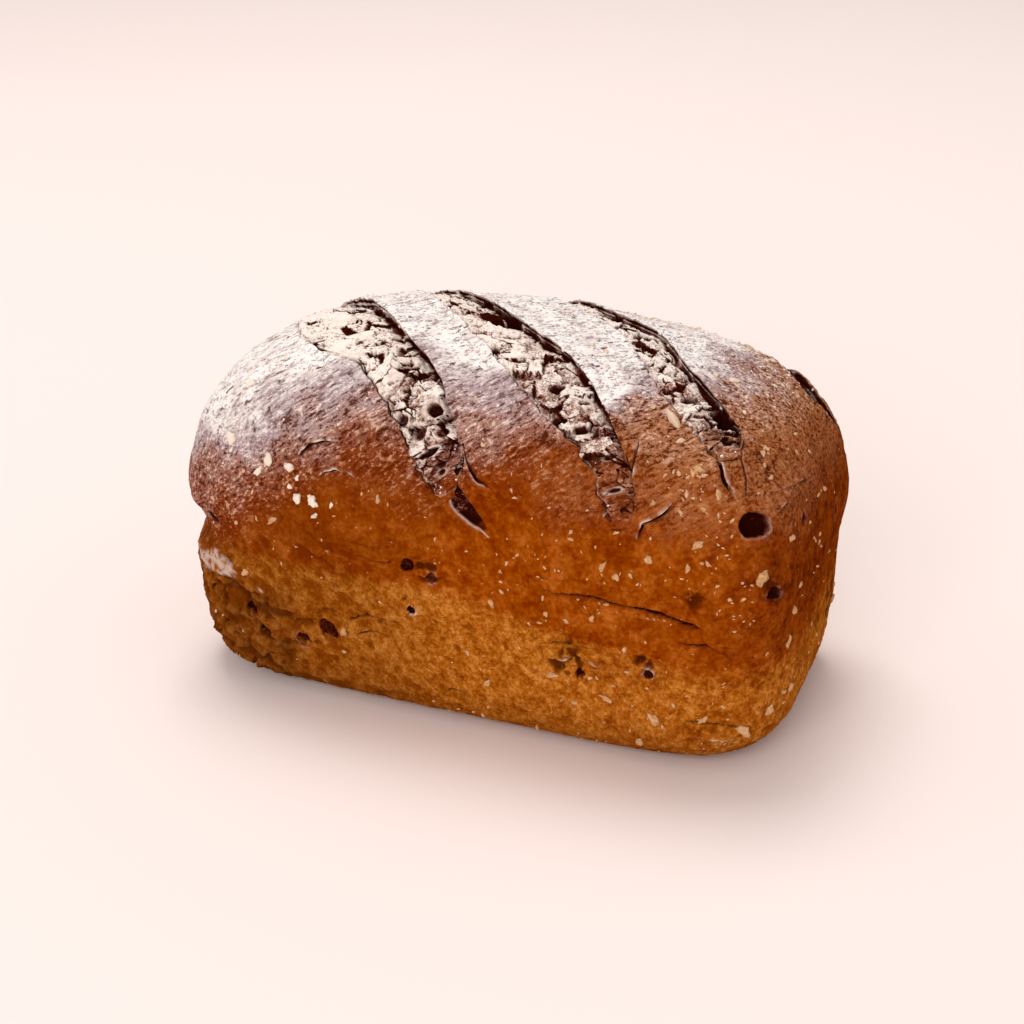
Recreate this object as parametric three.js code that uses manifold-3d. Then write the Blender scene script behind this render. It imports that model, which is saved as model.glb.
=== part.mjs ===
// A whole tin loaf of gluten-free brown bread. A tall rounded dome stands on sides that the tin pressed.
// Four diagonal slashes have torn open across the dome, and the crust has creases, folds, burst bubbles,
// and grains, oat flakes and seeds baked onto it.
//
// Millimetres, +Z up. +X runs along the loaf and -Y is the long side that is seen. The origin is on the
// ground under the middle of the loaf.
//
// The loaf is one solid. A cube's grid is cast onto a rounded form and swollen a little, the slashes,
// creases and bubbles are cut out of it, and the lips, folds and toppings are joined to it.

import * as THREE from 'three';
import { mergeVertices } from 'three/addons/utils/BufferGeometryUtils.js';
import Module from 'manifold-3d';

// ---- The whole loaf ---------------------------------------------------------------------------------

const HALF_LENGTH = 100; // at the belt, where the dough is widest
const HALF_WIDTH = 54.7;
const HEIGHT = 119.5;
const BELT = 62; // height of the belt
const RIM = 47; // height of the tin's rim, which the dough rose over
const TIN_DRAFT = 2.5; // how far each side of the tin leans in from its rim to its foot
const OVERHANG = 1.5; // how far the belt stands out over the tin's side
const OVERHANG_SPREAD = 13.5; // how far above and below the belt that overhang reaches
const FOOT_CUT = 1.2; // how much of the rounded underside the tin pressed flat

// Exponents of the rounded form: 2 gives an ellipse, and the more above that, the squarer the corner.
const TIN_CORNER = 5.7;
const CROWN_ALONG = 2.3;
const CROWN_ACROSS = 2.57;
const CROWN_UP = 2.63;
const FOOT_EDGE = 12;

const SHORTEST_EDGE = 0.6; // edges shorter than this are closed up
const MOST_TURN = 0.85; // the cosine of the most that closing one may turn a face
const GRID = { along: 30, across: 14, up: 18 }; // cells of the cube's grid
const CAST_STEPS = 26; // halvings in finding the crust along a ray

// Broad swells of the crust: a point near each, how far it spreads, and how high it stands.
const SWELLS = [
  { at: [-99, -10, 32], wide: 22, high: 2.2 }, // the far end's foot
  { at: [99, -10, 30], wide: 26, high: 2.0 }, // the near end's foot
  { at: [-60, -40, 95], wide: 24, high: 0.8 }, // the dome's left shoulder
  { at: [-42, 5, 118], wide: 20, high: 1.0 }, // the crown between the slashes
  { at: [62, 12, 114], wide: 22, high: 1.2 },
  { at: [5, -52, 28], wide: 34, high: -1.0 }, // the seen side draws in a little
];
const UNEVEN = [{ high: 0.9, wide: 31 }, { high: 0.5, wide: 15 }]; // the dough's general unevenness

// The dough is pinched in over the rim, most at the far end.
const PINCH = { above: 5, spread: 6.5, side: 0.5, end: 4.2, from: -62, to: -94 };

// ---- Slashes ----------------------------------------------------------------------------------------

// Each slash from the far side of the dome to the seen side: [x of its left edge, of its right edge], the
// degrees of both round the long axis from the crown towards the seen side, and how deep the slash is.
const SLASHES = [
  {
    x: [
      [-84, -80], [-76, -66], [-69, -52], [-58, -38], [-38, -26],
      [-25, -14], [-16, -5], [-10, 1], [0, 6], [9, 11],
    ],
    turn: [
      [-44, -46], [-22, -25], [4, -6], [29, 12], [41, 25],
      [49, 36], [57, 48], [66, 58], [74, 69], [80, 79],
    ],
    deep: 6.5,
  },
  {
    x: [
      [-58, -52], [-43, -30], [-30, -15], [-13, 3], [2, 18],
      [16, 32], [30, 43], [40, 51], [46, 56], [50, 56],
    ],
    turn: [
      [-46, -48], [-23, -24], [-6, -10], [14, 6], [28, 18],
      [40, 29], [50, 41], [57, 52], [66, 62], [72, 71],
    ],
    deep: 6,
  },
  {
    x: [
      [-18, -12], [0, 10], [16, 27], [34, 42], [46, 55],
      [55, 66], [66, 76], [76, 84], [81, 88], [87, 91],
    ],
    turn: [
      [-48, -50], [-28, -28], [-13, -8], [0, 2], [16, 11],
      [30, 19], [39, 28], [45, 40], [55, 52], [62, 61],
    ],
    deep: 4.5,
  },
  {
    x: [[44, 49], [58, 64], [70, 75], [79, 84], [88, 92], [94, 96]],
    turn: [[-70, -73], [-58, -63], [-45, -54], [-33, -45], [-31, -45], [-42, -54]],
    deep: 4.5,
  },
];
const SLASH_STATIONS = 24;
const SLASH_CLOSES = 0.12; // the share of its length over which each end of a slash grows shallow

// The section of a slash, as points [share of the way from its left edge to its right, share of its
// depth]. The floor falls from the left edge and ends in a steep wall, which the right edge hangs over.
const SLASH_FLOOR = [
  [0, 0.05], [0.12, 0.4], [0.3, 0.6], [0.5, 0.74], [0.7, 0.92], [0.87, 1.06], [1, 0.94], [1.05, 0.45],
];
const FLOOR_LUMPS = { high: 2, wide: 6 }; // the torn crumb's lumps
const CUTTER_CLEARANCE = 7; // how far a cutter stands out of the crust

// The knife undercut the right edge of each slash, so it curls up into a lip. The section of the lip holds
// points [distance outside the edge, height over the crust].
const LIP = [[3, -1.2], [7.5, -1.2], [4.5, 0.8], [1.5, 1.9], [-0.7, 1.9], [-1.6, 1]];
const LIP_SPAN = [0.05, 0.8]; // the shares of the slash's length where the lip begins and ends
const LIP_STATIONS = 16;

// ---- Creases, folds and bubbles ---------------------------------------------------------------------

// Creases in the crust, which open under the fold above them: points near the crust, how wide and how deep.
const CREASES = [
  { path: [[26, -54, 57.6], [47, -54, 58.4], [70, -53, 55.4], [86, -48, 47.5]], wide: 2.8, deep: 3.0 },
  { path: [[70, -53, 45.5], [79, -51, 46], [86, -48, 43.5]], wide: 2.0, deep: 1.8 },
  { path: [[-70, -53, 65], [-60, -54, 60.5], [-51, -54, 58], [-42, -54, 54.5]], wide: 3.2, deep: 2.4 },
  { path: [[-38, -54, 57.5], [-28, -54, 56], [-18, -54, 57.5]], wide: 2.0, deep: 1.4 },
  { path: [[-84, -49, 24], [-74, -50, 17], [-62, -50, 9]], wide: 3.0, deep: 2.6 },
  { path: [[-66, -52, 33], [-58, -52, 26], [-54, -52, 15]], wide: 2.4, deep: 2.0 },
  { path: [[-32, -52, 33], [-26, -53, 35], [-20, -53, 35]], wide: 2.4, deep: 2.0 },
  { path: [[1, -53, 80.5], [4, -53, 77], [8, -54, 74], [12, -54, 72.5]], wide: 4.6, deep: 5.5 },
  { path: [[-70, 52, 50], [-38, 54, 55], [-6, 54, 52], [20, 54, 54]], wide: 2.8, deep: 2.6 },
  { path: [[99, -24, 46], [100, -4, 50], [99, 20, 47]], wide: 2.4, deep: 2.0 },
];

// Raised folds and flaps of crust: points near the crust, how wide and how high.
const FOLDS = [
  { path: [[47, -52, 83], [50, -51, 87], [53, -47, 94], [53, -42, 101]], wide: 3.0, high: 2.2 },
  { path: [[65, -48, 88], [63, -50, 85], [58, -52, 81], [57, -52, 77]], wide: 3.6, high: 2.4 },
  { path: [[-52, -51, 85], [-47, -51, 88], [-39, -50, 89.5]], wide: 3.2, high: 1.8 },
  { path: [[-42, -52, 80], [-37, -52, 82], [-31, -52, 81]], wide: 2.8, high: 1.5 },
  { path: [[-93, -42, 40], [-86, -47, 39], [-78, -50, 40], [-71, -52, 41]], wide: 6.5, high: 2.2 },
  { path: [[-90, -45, 62], [-82, -50, 60], [-77, -51, 54]], wide: 5, high: 2.2 },
  { path: [[96, -36, 90], [98, -24, 88], [98, -10, 86]], wide: 4, high: 1.4 },
];
const CREASE_STATIONS = 8;

// Burst bubbles in the crust: a point near each, its radius, and how deep it goes.
const BUBBLES = [
  { at: [88, -43, 82], radius: 4.7, deep: 5 }, // the round hole below the third slash
  { at: [78, -24, 103.5], radius: 3.6, deep: 4.5 },
  { at: [-84, -50, 58], radius: 2.3, deep: 2.8 },
  { at: [-75, -50, 26], radius: 3.0, deep: 2.8 },
  { at: [-68, -51, 32], radius: 2.6, deep: 2.6 },
  { at: [-64, -51, 17], radius: 3.6, deep: 1.6 },
  { at: [-14, -55, 56], radius: 2.2, deep: 1.8 },
  { at: [-49.4, -52, 24], radius: 2.7, deep: 1.2 },
  { at: [-40.5, -52, 28], radius: 3.2, deep: 1.2 },
  { at: [33, -52, 30], radius: 3.8, deep: 1.8 },
  { at: [0, -51, 14], radius: 2.0, deep: 1.3 },
  { at: [45, 54, 40], radius: 3.0, deep: 1.8 },
  { at: [-38, 54, 66], radius: 2.6, deep: 2.0 },
  { at: [99, 12, 66], radius: 2.6, deep: 2.0 },
  { at: [-98, 14, 78], radius: 2.8, deep: 2.0 },
];

// Bubbles that burst in the torn crumb: which slash, the shares of the way along and across it, the radius,
// how deep, and for some how thick their raised ring is.
const CRUMB_BUBBLES = [
  { slash: 0, along: 0.66, across: 0.72, radius: 2.9, deep: 3.6, ring: 1.4 },
  { slash: 0, along: 0.55, across: 0.6, radius: 2.8, deep: 2.2, ring: 1.0 },
  { slash: 0, along: 0.6, across: 0.35, radius: 1.8, deep: 2.0 },
  { slash: 0, along: 0.7, across: 0.2, radius: 2.4, deep: 2.4 },
  { slash: 0, along: 0.75, across: 0.55, radius: 2.6, deep: 2.4 },
  { slash: 0, along: 0.42, across: 0.65, radius: 2.8, deep: 2.2 },
  { slash: 0, along: 0.3, across: 0.5, radius: 3.2, deep: 2.2 },
  { slash: 1, along: 0.3, across: 0.75, radius: 4.0, deep: 3.4 },
  { slash: 1, along: 0.4, across: 0.7, radius: 3.0, deep: 2.6 },
  { slash: 1, along: 0.66, across: 0.3, radius: 2.6, deep: 2.4 },
  { slash: 1, along: 0.78, across: 0.35, radius: 2.2, deep: 2.2 },
  { slash: 2, along: 0.33, across: 0.5, radius: 3.2, deep: 2.6, ring: 1.1 },
  { slash: 2, along: 0.25, across: 0.6, radius: 2.6, deep: 2.2 },
  { slash: 3, along: 0.55, across: 0.6, radius: 3.0, deep: 2.6 },
];

// ---- Toppings ---------------------------------------------------------------------------------------

// Flakes, seeds and grains that lie at a known place: a point near each, and its length, width and thickness.
const PLACED_TOPPINGS = [
  { at: [-75, -48, 85], size: [4.2, 3.2, 1.8] },
  { at: [-60, -51, 81], size: [4.6, 3.2, 2.0] },
  { at: [-52.5, -52, 80], size: [3.6, 2.8, 2.0] },
  { at: [-50, -53.5, 71], size: [4.0, 3.0, 2.2] },
  { at: [-45, -54, 70], size: [4.4, 3.4, 2.2] },
  { at: [-40.5, -52, 28], size: [4.6, 4.4, 2.4] },
  { at: [-49.4, -52, 24], size: [3.6, 3.6, 1.8] },
  { at: [64, -51, 18.6], size: [5.2, 2.6, 1.4] },
  { at: [59, -49, 8], size: [5.0, 2.4, 1.4] },
  { at: [88, -44, 16], size: [6.0, 4.2, 2.2] },
  { at: [47, -52, 21], size: [4.4, 2.0, 1.2] },
  { at: [60, -31, 108], size: [6.0, 4.4, 3.0] },
  { at: [93, -44, 65], size: [3.6, 2.8, 1.8] },
];
const SCATTERED_TOPPINGS = { count: 26, least: [2.6, 2.0, 1.2], most: [4.4, 3.0, 2.0], apart: 9, seed: 11 };
const SUNK = 0.15; // the share of a topping's thickness by which its middle lies under the crust

// ---- Small helpers ----------------------------------------------------------------------------------

const { lerp, clamp, degToRad } = THREE.MathUtils;
const vector = (x, y, z) => new THREE.Vector3(x, y, z);
const hill = (distance, wide) => Math.exp(-((distance / wide) ** 2));
const smooth = (from, to, x) => {
  const t = clamp((x - from) / (to - from), 0, 1);
  return t * t * (3 - 2 * t);
};

// A number from 0 to 1 that depends only on the three whole numbers.
function hash(i, j, k) {
  let h = Math.imul(i, 374761393) ^ Math.imul(j, 668265263) ^ Math.imul(k, 2147483647);
  h = Math.imul(h ^ (h >>> 13), 1274126177);
  return ((h ^ (h >>> 16)) >>> 0) / 4294967296;
}

// Smooth noise from -1 to 1 at a point, whose bumps are about `wide` across.
function noise({ x, y, z }, wide) {
  const scaled = [x / wide, y / wide, z / wide];
  const [i, j, k] = scaled.map(Math.floor);
  const [u, v, w] = scaled.map((s) => smooth(0, 1, s - Math.floor(s)));
  const edge = (dj, dk) => lerp(hash(i, j + dj, k + dk), hash(i + 1, j + dj, k + dk), u);
  return 2 * lerp(lerp(edge(0, 0), edge(1, 0), v), lerp(edge(0, 1), edge(1, 1), v), w) - 1;
}

// ---- The rounded form -------------------------------------------------------------------------------

// 1 on the crust and less inside, in coordinates where the belt's half length and half width and the
// heights above and below it are all 1. The plan turns from the tin's square corners to the round crown's.
function level(p) {
  const rise = smooth(-0.1, 0.9, p.z / (p.length() + 1e-6));
  return (
    Math.abs(p.x) ** lerp(TIN_CORNER, CROWN_ALONG, rise) +
    Math.abs(p.y) ** lerp(TIN_CORNER, CROWN_ACROSS, rise) +
    Math.abs(p.z) ** (p.z > 0 ? CROWN_UP : FOOT_EDGE)
  );
}

// The point where a ray from `start` along `way` leaves the form.
function cast(start, way) {
  let inside = 0;
  let outside = 1.6;
  for (let step = 0; step < CAST_STEPS; step++) {
    const middle = (inside + outside) / 2;
    if (level(start.clone().addScaledVector(way, middle)) > 1) outside = middle;
    else inside = middle;
  }
  return start.clone().addScaledVector(way, (inside + outside) / 2);
}

const heightBeyond = (z) => (z > 0 ? HEIGHT - BELT : BELT);

// From those coordinates to millimetres, with the tin's draft, the belt's overhang and the flat foot.
function toMillimetres(p) {
  const z = BELT + p.z * heightBeyond(p.z);
  const draft = TIN_DRAFT * Math.max(1 - z / RIM, 0);
  const overhang = OVERHANG * (hill(z - BELT, OVERHANG_SPREAD) - 1);
  return vector(
    p.x * (HALF_LENGTH + overhang - draft),
    p.y * (HALF_WIDTH + overhang - draft),
    (Math.max(z - FOOT_CUT, 0) * HEIGHT) / (HEIGHT - FOOT_CUT),
  );
}

const fromMillimetres = ({ x, y, z }) =>
  vector(x / HALF_LENGTH, y / HALF_WIDTH, (z - BELT) / heightBeyond(z - BELT));

// The crust's outward direction at a point of it, from the slope of the form's level.
function outwards(p) {
  const here = fromMillimetres(p);
  const slope = (way) => level(here.clone().add(way)) - level(here.clone().sub(way));
  const step = 1e-3;
  return vector(
    slope(vector(step, 0, 0)) / HALF_LENGTH,
    slope(vector(0, step, 0)) / HALF_WIDTH,
    slope(vector(0, 0, step)) / heightBeyond(here.z),
  ).normalize();
}

// The point of the crust on the ray from the loaf's heart through `p`.
function onCrust(p) {
  const way = fromMillimetres(p);
  const reach = Math.max(...way.toArray().map(Math.abs));
  return toMillimetres(cast(vector(0, 0, 0), way.divideScalar(reach)));
}

// The point of the crust at x, turned `degrees` round the long axis from the crown towards the seen side.
function roundCrust(x, degrees) {
  const way = vector(0, -Math.sin(degToRad(degrees)), Math.cos(degToRad(degrees)));
  return toMillimetres(cast(vector(x / HALF_LENGTH, 0, 0), way));
}

// How far the crust stands out past the rounded form at a point of it. The foot stays flat.
function swellAt(p) {
  let high = 0;
  for (const swell of SWELLS) high += swell.high * hill(p.distanceTo(vector(...swell.at)), swell.wide);
  for (const uneven of UNEVEN) high += uneven.high * noise(p, uneven.wide);
  const pinched = lerp(PINCH.side, PINCH.end, smooth(PINCH.from, PINCH.to, p.x));
  high -= pinched * hill(p.z - RIM - PINCH.above, PINCH.spread);
  return high * smooth(0, RIM / 4, p.z);
}

// ---- Solids -----------------------------------------------------------------------------------------

const wasm = await Module();
wasm.setup();

function toSolid(geometry) {
  const bare = geometry.clone();
  bare.deleteAttribute('normal');
  bare.deleteAttribute('uv');
  const merged = mergeVertices(bare, 1e-4);
  const mesh = new wasm.Mesh({
    numProp: 3,
    vertProperties: merged.attributes.position.array,
    triVerts: new Uint32Array(merged.index.array),
  });
  return new wasm.Manifold(mesh);
}

function toGeometry(solid) {
  const { vertProperties, triVerts } = solid.getMesh();
  const geometry = new THREE.BufferGeometry();
  geometry.setAttribute('position', new THREE.BufferAttribute(vertProperties, 3));
  geometry.setIndex(new THREE.BufferAttribute(triVerts, 1));
  return geometry;
}

// Closes up the edges shorter than `shortest` that the cuts leave, the shortest first, wherever that
// neither pinches the skin together nor turns a face much.
function closeShortEdges(geometry, shortest) {
  const corners = [...geometry.index.array];
  const position = geometry.attributes.position;
  const pointAt = (_, i) => vector(0, 0, 0).fromBufferAttribute(position, i);
  const points = Array.from({ length: position.count }, pointAt);
  const faces = Array.from({ length: corners.length / 3 }, (_, f) => corners.slice(3 * f, 3 * f + 3));
  const facesAt = points.map(() => new Set());
  faces.forEach((face, f) => face.forEach((v) => facesAt[v].add(f)));

  const neighbours = (v) => new Set([...facesAt[v]].flatMap((f) => faces[f]).filter((u) => u !== v));
  const facing = ([a, b, c]) => points[b].clone().sub(points[a]).cross(points[c].clone().sub(points[a]));
  const replaced = (face, from, to) => face.map((v) => (v === from ? to : v));
  const staysUp = (face, from, to) => {
    const [before, after] = [facing(face), facing(replaced(face, from, to))];
    return before.dot(after) > MOST_TURN * before.length() * after.length();
  };

  function close(from, to) {
    const toNeighbours = neighbours(to);
    const shared = [...neighbours(from)].filter((v) => toNeighbours.has(v));
    const moved = [...facesAt[from]].filter((f) => !faces[f].includes(to));
    if (shared.length !== 2 || !moved.every((f) => staysUp(faces[f], from, to))) return false;
    for (const f of [...facesAt[from]]) {
      const face = faces[f];
      face.forEach((v) => facesAt[v].delete(f));
      faces[f] = face.includes(to) ? null : replaced(face, from, to);
      faces[f]?.forEach((v) => facesAt[v].add(f));
    }
    return true;
  }

  for (const limit of [0.25, 0.5, 0.75, 1].map((share) => share * shortest)) {
    for (let f = 0; f < faces.length; f++) {
      for (const [i, j] of [[0, 1], [1, 2], [2, 0]]) {
        if (!faces[f]) break;
        const [a, b] = [faces[f][i], faces[f][j]];
        if (points[a].distanceTo(points[b]) < limit) close(a, b) || close(b, a);
      }
    }
  }

  const closed = new THREE.BufferGeometry().setFromPoints(points);
  closed.setIndex(faces.filter(Boolean).flat());
  return closed;
}

const joined = (solids) => solids.reduce((all, solid) => all.add(solid));

// A closed skin over rings of points that follow each other, with a fan to the middle of each end ring.
function loft(rings) {
  const around = rings[0].length;
  const middleOf = (ring) => ring.reduce((sum, p) => sum.add(p), vector(0, 0, 0)).divideScalar(around);
  const points = [...rings.flat(), middleOf(rings[0]), middleOf(rings.at(-1))];
  const [firstMiddle, lastMiddle] = [points.length - 2, points.length - 1];
  const lastRing = (rings.length - 1) * around;
  const faces = [];
  for (let j = 0; j < around; j++) {
    const next = (j + 1) % around;
    for (let ring = 0; ring < lastRing; ring += around) {
      faces.push(ring + j, ring + next, ring + around + j);
      faces.push(ring + next, ring + around + next, ring + around + j);
    }
    faces.push(firstMiddle, next, j);
    faces.push(lastMiddle, lastRing + j, lastRing + next);
  }
  const geometry = new THREE.BufferGeometry().setFromPoints(points);
  geometry.setIndex(faces);
  return geometry;
}

// A point `aside` of a place on the crust and `high` over the crust there.
function over(middle, sideways, aside, high) {
  const foot = onCrust(middle.clone().addScaledVector(sideways, aside));
  return foot.addScaledVector(outwards(foot), swellAt(foot) + high);
}

// A solid along a line on the crust. `sectionAt` gives the points [aside, high] of its section at each share
// of the line's length, along its underside from left to right and back over its top.
function sweep(points, stations, sectionAt) {
  const curve = new THREE.CatmullRomCurve3(points);
  const rings = [];
  for (let i = 0; i <= stations; i++) {
    const middle = onCrust(curve.getPoint(i / stations));
    const sideways = outwards(middle).cross(curve.getTangent(i / stations)).normalize();
    rings.push(sectionAt(i / stations).map(([aside, high]) => over(middle, sideways, aside, high)));
  }
  return toSolid(loft(rings));
}

// ---- Pieces -----------------------------------------------------------------------------------------

// The loaf before it was slashed.
function body() {
  const geometry = new THREE.BoxGeometry(2, 2, 2, GRID.along, GRID.across, GRID.up);
  const position = geometry.attributes.position;
  for (let i = 0; i < position.count; i++) {
    const p = toMillimetres(cast(vector(0, 0, 0), vector(0, 0, 0).fromBufferAttribute(position, i)));
    p.addScaledVector(outwards(p), swellAt(p));
    position.setXYZ(i, p.x, p.y, Math.max(p.z, 0));
  }
  return toSolid(geometry);
}

// How open a slash is at a share of its length: 1 in the middle and almost 0 at both ends.
function openAt(share) {
  const towardsMiddle = Math.min(share, 1 - share);
  return Math.sqrt(lerp(0.02, 1, smooth(0, SLASH_CLOSES, towardsMiddle)));
}

// The left edge of a slash, for side 0, or its right edge, for side 1.
function edgeOf({ x, turn }, side) {
  return new THREE.CatmullRomCurve3(x.map((xs, i) => roundCrust(xs[side], turn[i][side])));
}

// A point of a slash: `along` and `across` it as shares, and `high` over the crust.
function inSlash(slash, along, across, high) {
  const [left, right] = [0, 1].map((side) => edgeOf(slash, side).getPoint(along));
  return over(left.lerp(right, across), vector(0, 0, 0), 0, high);
}

// How deep a slash's floor lies at shares along and across it.
function floorAt(slash, along, across) {
  const next = SLASH_FLOOR.findIndex(([share]) => share > across);
  const [[shareA, depthA], [shareB, depthB]] = SLASH_FLOOR.slice(next - 1, next + 1);
  return slash.deep * openAt(along) * lerp(depthA, depthB, (across - shareA) / (shareB - shareA));
}

// What is torn out of the dome along one slash.
function slashCutter(slash) {
  const rings = [];
  for (let i = 0; i <= SLASH_STATIONS; i++) {
    const along = i / SLASH_STATIONS;
    const open = openAt(along);
    const floor = SLASH_FLOOR.map(([across, depth]) => {
      const lump = FLOOR_LUMPS.high * open * noise(inSlash(slash, along, across, 0), FLOOR_LUMPS.wide);
      return inSlash(slash, along, across, lump * smooth(0, 0.3, across) - depth * slash.deep * open);
    });
    const top = [1, 0].map((across) => inSlash(slash, along, across, CUTTER_CLEARANCE));
    rings.push([...floor, ...top]);
  }
  return toSolid(loft(rings));
}

const tapered = (share) => 0.3 + 0.7 * Math.sin(Math.PI * share);

// The crust's curled lip along the right edge of a slash.
function lip(slash) {
  const edge = edgeOf(slash, 1);
  const points = [0, 0.2, 0.4, 0.6, 0.8, 1].map((share) => edge.getPoint(lerp(...LIP_SPAN, share)));
  return sweep(points, LIP_STATIONS, (share) => LIP.map(([aside, high]) => [aside, high * tapered(share)]));
}

// A crease is a slot that leans upwards under the fold above it.
function creaseCutter({ path, wide, deep }) {
  const slot = [[-0.5, -0.2], [0.5, -1], [0.5, 0.8], [-0.5, 0.8]];
  const sectionAt = (share) => slot.map(([a, b]) => [a * wide * tapered(share), b * deep * tapered(share)]);
  return sweep(path.map((p) => vector(...p)), CREASE_STATIONS, sectionAt);
}

// A fold is a soft ridge with a steeper far side.
function foldRidge({ path, wide, high }) {
  const ridge = [[-0.5, -0.6], [0.5, -0.6], [0.35, 0.8], [-0.1, 1]];
  const sectionAt = (share) => ridge.map(([a, b]) => [a * wide * tapered(share), b * high * tapered(share)]);
  return sweep(path.map((p) => vector(...p)), CREASE_STATIONS, sectionAt);
}

// Moves a geometry that stands at the origin to `centre`, with its +Z turned to `up`.
function standAt(geometry, centre, up) {
  geometry.applyQuaternion(new THREE.Quaternion().setFromUnitVectors(vector(0, 0, 1), up));
  return toSolid(geometry.translate(centre.x, centre.y, centre.z));
}

// A ball stretched to `size`, with its thickness along the crust's outward direction.
function blob(centre, size, spin = 0) {
  const ball = new THREE.OctahedronGeometry(1, 1).scale(size[0] / 2, size[1] / 2, size[2] / 2);
  return standAt(ball.rotateZ(spin), centre, outwards(onCrust(centre)));
}

const crustBubble = ({ at, radius, deep }) =>
  blob(over(vector(...at), vector(0, 0, 0), 0, 0.3), [2 * radius, 2 * radius, 2 * deep]);

const crumbPlace = ({ slash, along, across }, high) =>
  inSlash(SLASHES[slash], along, across, high - floorAt(SLASHES[slash], along, across));

const crumbBubble = (bubble) =>
  blob(crumbPlace(bubble, 0.8), [2 * bubble.radius, 2 * bubble.radius, 2 * bubble.deep]);

// The raised ring of a burst bubble.
function crumbRing(bubble) {
  const ring = new THREE.TorusGeometry(bubble.radius + bubble.ring / 3, bubble.ring, 5, 12);
  const centre = crumbPlace(bubble, bubble.ring / 2);
  return standAt(ring, centre, outwards(onCrust(centre)));
}

// Grains, flakes and seeds: those with a known place, and a seeded scatter that keeps off the slashes.
function toppings() {
  const { count, least, most, apart, seed } = SCATTERED_TOPPINGS;
  const slashed = SLASHES.flatMap((slash) => [0, 1].flatMap((side) => edgeOf(slash, side).getPoints(20)));
  const laid = PLACED_TOPPINGS.map(({ at, size }, i) => ({ foot: vector(...at), size, spin: 1.7 * i }));
  for (let i = 0; laid.length < PLACED_TOPPINGS.length + count; i++) {
    const [a, b, c, d] = [1, 2, 3, 4].map((k) => hash(i, k, seed));
    const foot = onCrust(vector(lerp(-92, 92, a), lerp(-1, 1, b) * HALF_WIDTH, lerp(10, 112, c)));
    const others = [...slashed, ...laid.map((other) => other.foot)];
    const size = least.map((smallest, axis) => lerp(smallest, most[axis], d));
    const clear = others.every((other) => other.distanceTo(foot) > apart);
    if (clear && foot.z > 8) laid.push({ foot, size, spin: Math.PI * a });
  }
  return laid.map(({ foot, size, spin }) => {
    const centre = over(foot, vector(0, 0, 0), 0, -SUNK * size[2]);
    return blob(centre, size, spin);
  });
}

// ---- The loaf ---------------------------------------------------------------------------------------

function loafSolid() {
  const cuts = [...SLASHES.map(slashCutter), ...BUBBLES.map(crustBubble)];
  const rings = CRUMB_BUBBLES.filter(({ ring }) => ring).map(crumbRing);
  return body()
    .subtract(joined(cuts))
    .add(joined([...SLASHES.map(lip), ...rings, ...FOLDS.map(foldRidge)]))
    .subtract(joined([...CRUMB_BUBBLES.map(crumbBubble), ...CREASES.map(creaseCutter)]))
    .add(joined(toppings()));
}

const geometry = closeShortEdges(toGeometry(loafSolid()), SHORTEST_EDGE);
geometry.computeVertexNormals();
geometry.computeBoundingBox();
const { min, max } = geometry.boundingBox;
geometry.translate(-(min.x + max.x) / 2, -(min.y + max.y) / 2, -min.z);

const crust = new THREE.MeshStandardMaterial({ color: 0x96500f, roughness: 0.72, metalness: 0 });

const loaf = new THREE.Mesh(geometry, crust);
loaf.name = 'loaf';

const bread = new THREE.Group();
bread.add(loaf);

export default bread;
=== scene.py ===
import functools
import math
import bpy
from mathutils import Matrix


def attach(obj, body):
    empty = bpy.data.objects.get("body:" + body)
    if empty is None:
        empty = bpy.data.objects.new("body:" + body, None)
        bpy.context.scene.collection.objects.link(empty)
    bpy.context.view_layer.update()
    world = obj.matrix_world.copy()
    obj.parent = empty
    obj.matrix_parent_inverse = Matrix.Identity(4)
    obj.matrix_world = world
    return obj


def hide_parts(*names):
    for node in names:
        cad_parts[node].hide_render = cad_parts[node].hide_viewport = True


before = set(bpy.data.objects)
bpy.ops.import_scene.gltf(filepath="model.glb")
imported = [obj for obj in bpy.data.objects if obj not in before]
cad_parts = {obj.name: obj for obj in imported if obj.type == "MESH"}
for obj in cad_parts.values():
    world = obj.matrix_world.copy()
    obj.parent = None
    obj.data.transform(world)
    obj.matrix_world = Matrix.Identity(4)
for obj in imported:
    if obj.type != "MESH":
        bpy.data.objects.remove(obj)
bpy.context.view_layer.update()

import types

import bpy
import numpy as np

bl_info = {
    "name": "Brown tin loaf",
    "version": (1, 0, 0),
    "blender": (4, 5, 0),
    "location": "3D View > Sidebar > Loaf",
    "description": "Makes a slashed, flour-dusted brown tin loaf with its torn crumb, creases, flakes and grains",
    "category": "Add Mesh",
}

MM = 0.001

# ---- The loaf's places, in millimetres: +X along the loaf, -Y the side that is seen, +Z up --------------

# Broad swells of the crust: the middle of each, how far it spreads and how high it stands.
SWELLS = [
    ((-99, -10, 32), 22, 2.2), ((99, -10, 30), 26, 2.0), ((-60, -40, 95), 24, 0.8),
    ((-42, 5, 118), 20, 1.0), ((62, 12, 114), 22, 1.2), ((5, -52, 28), 34, -1.0),
]

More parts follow.
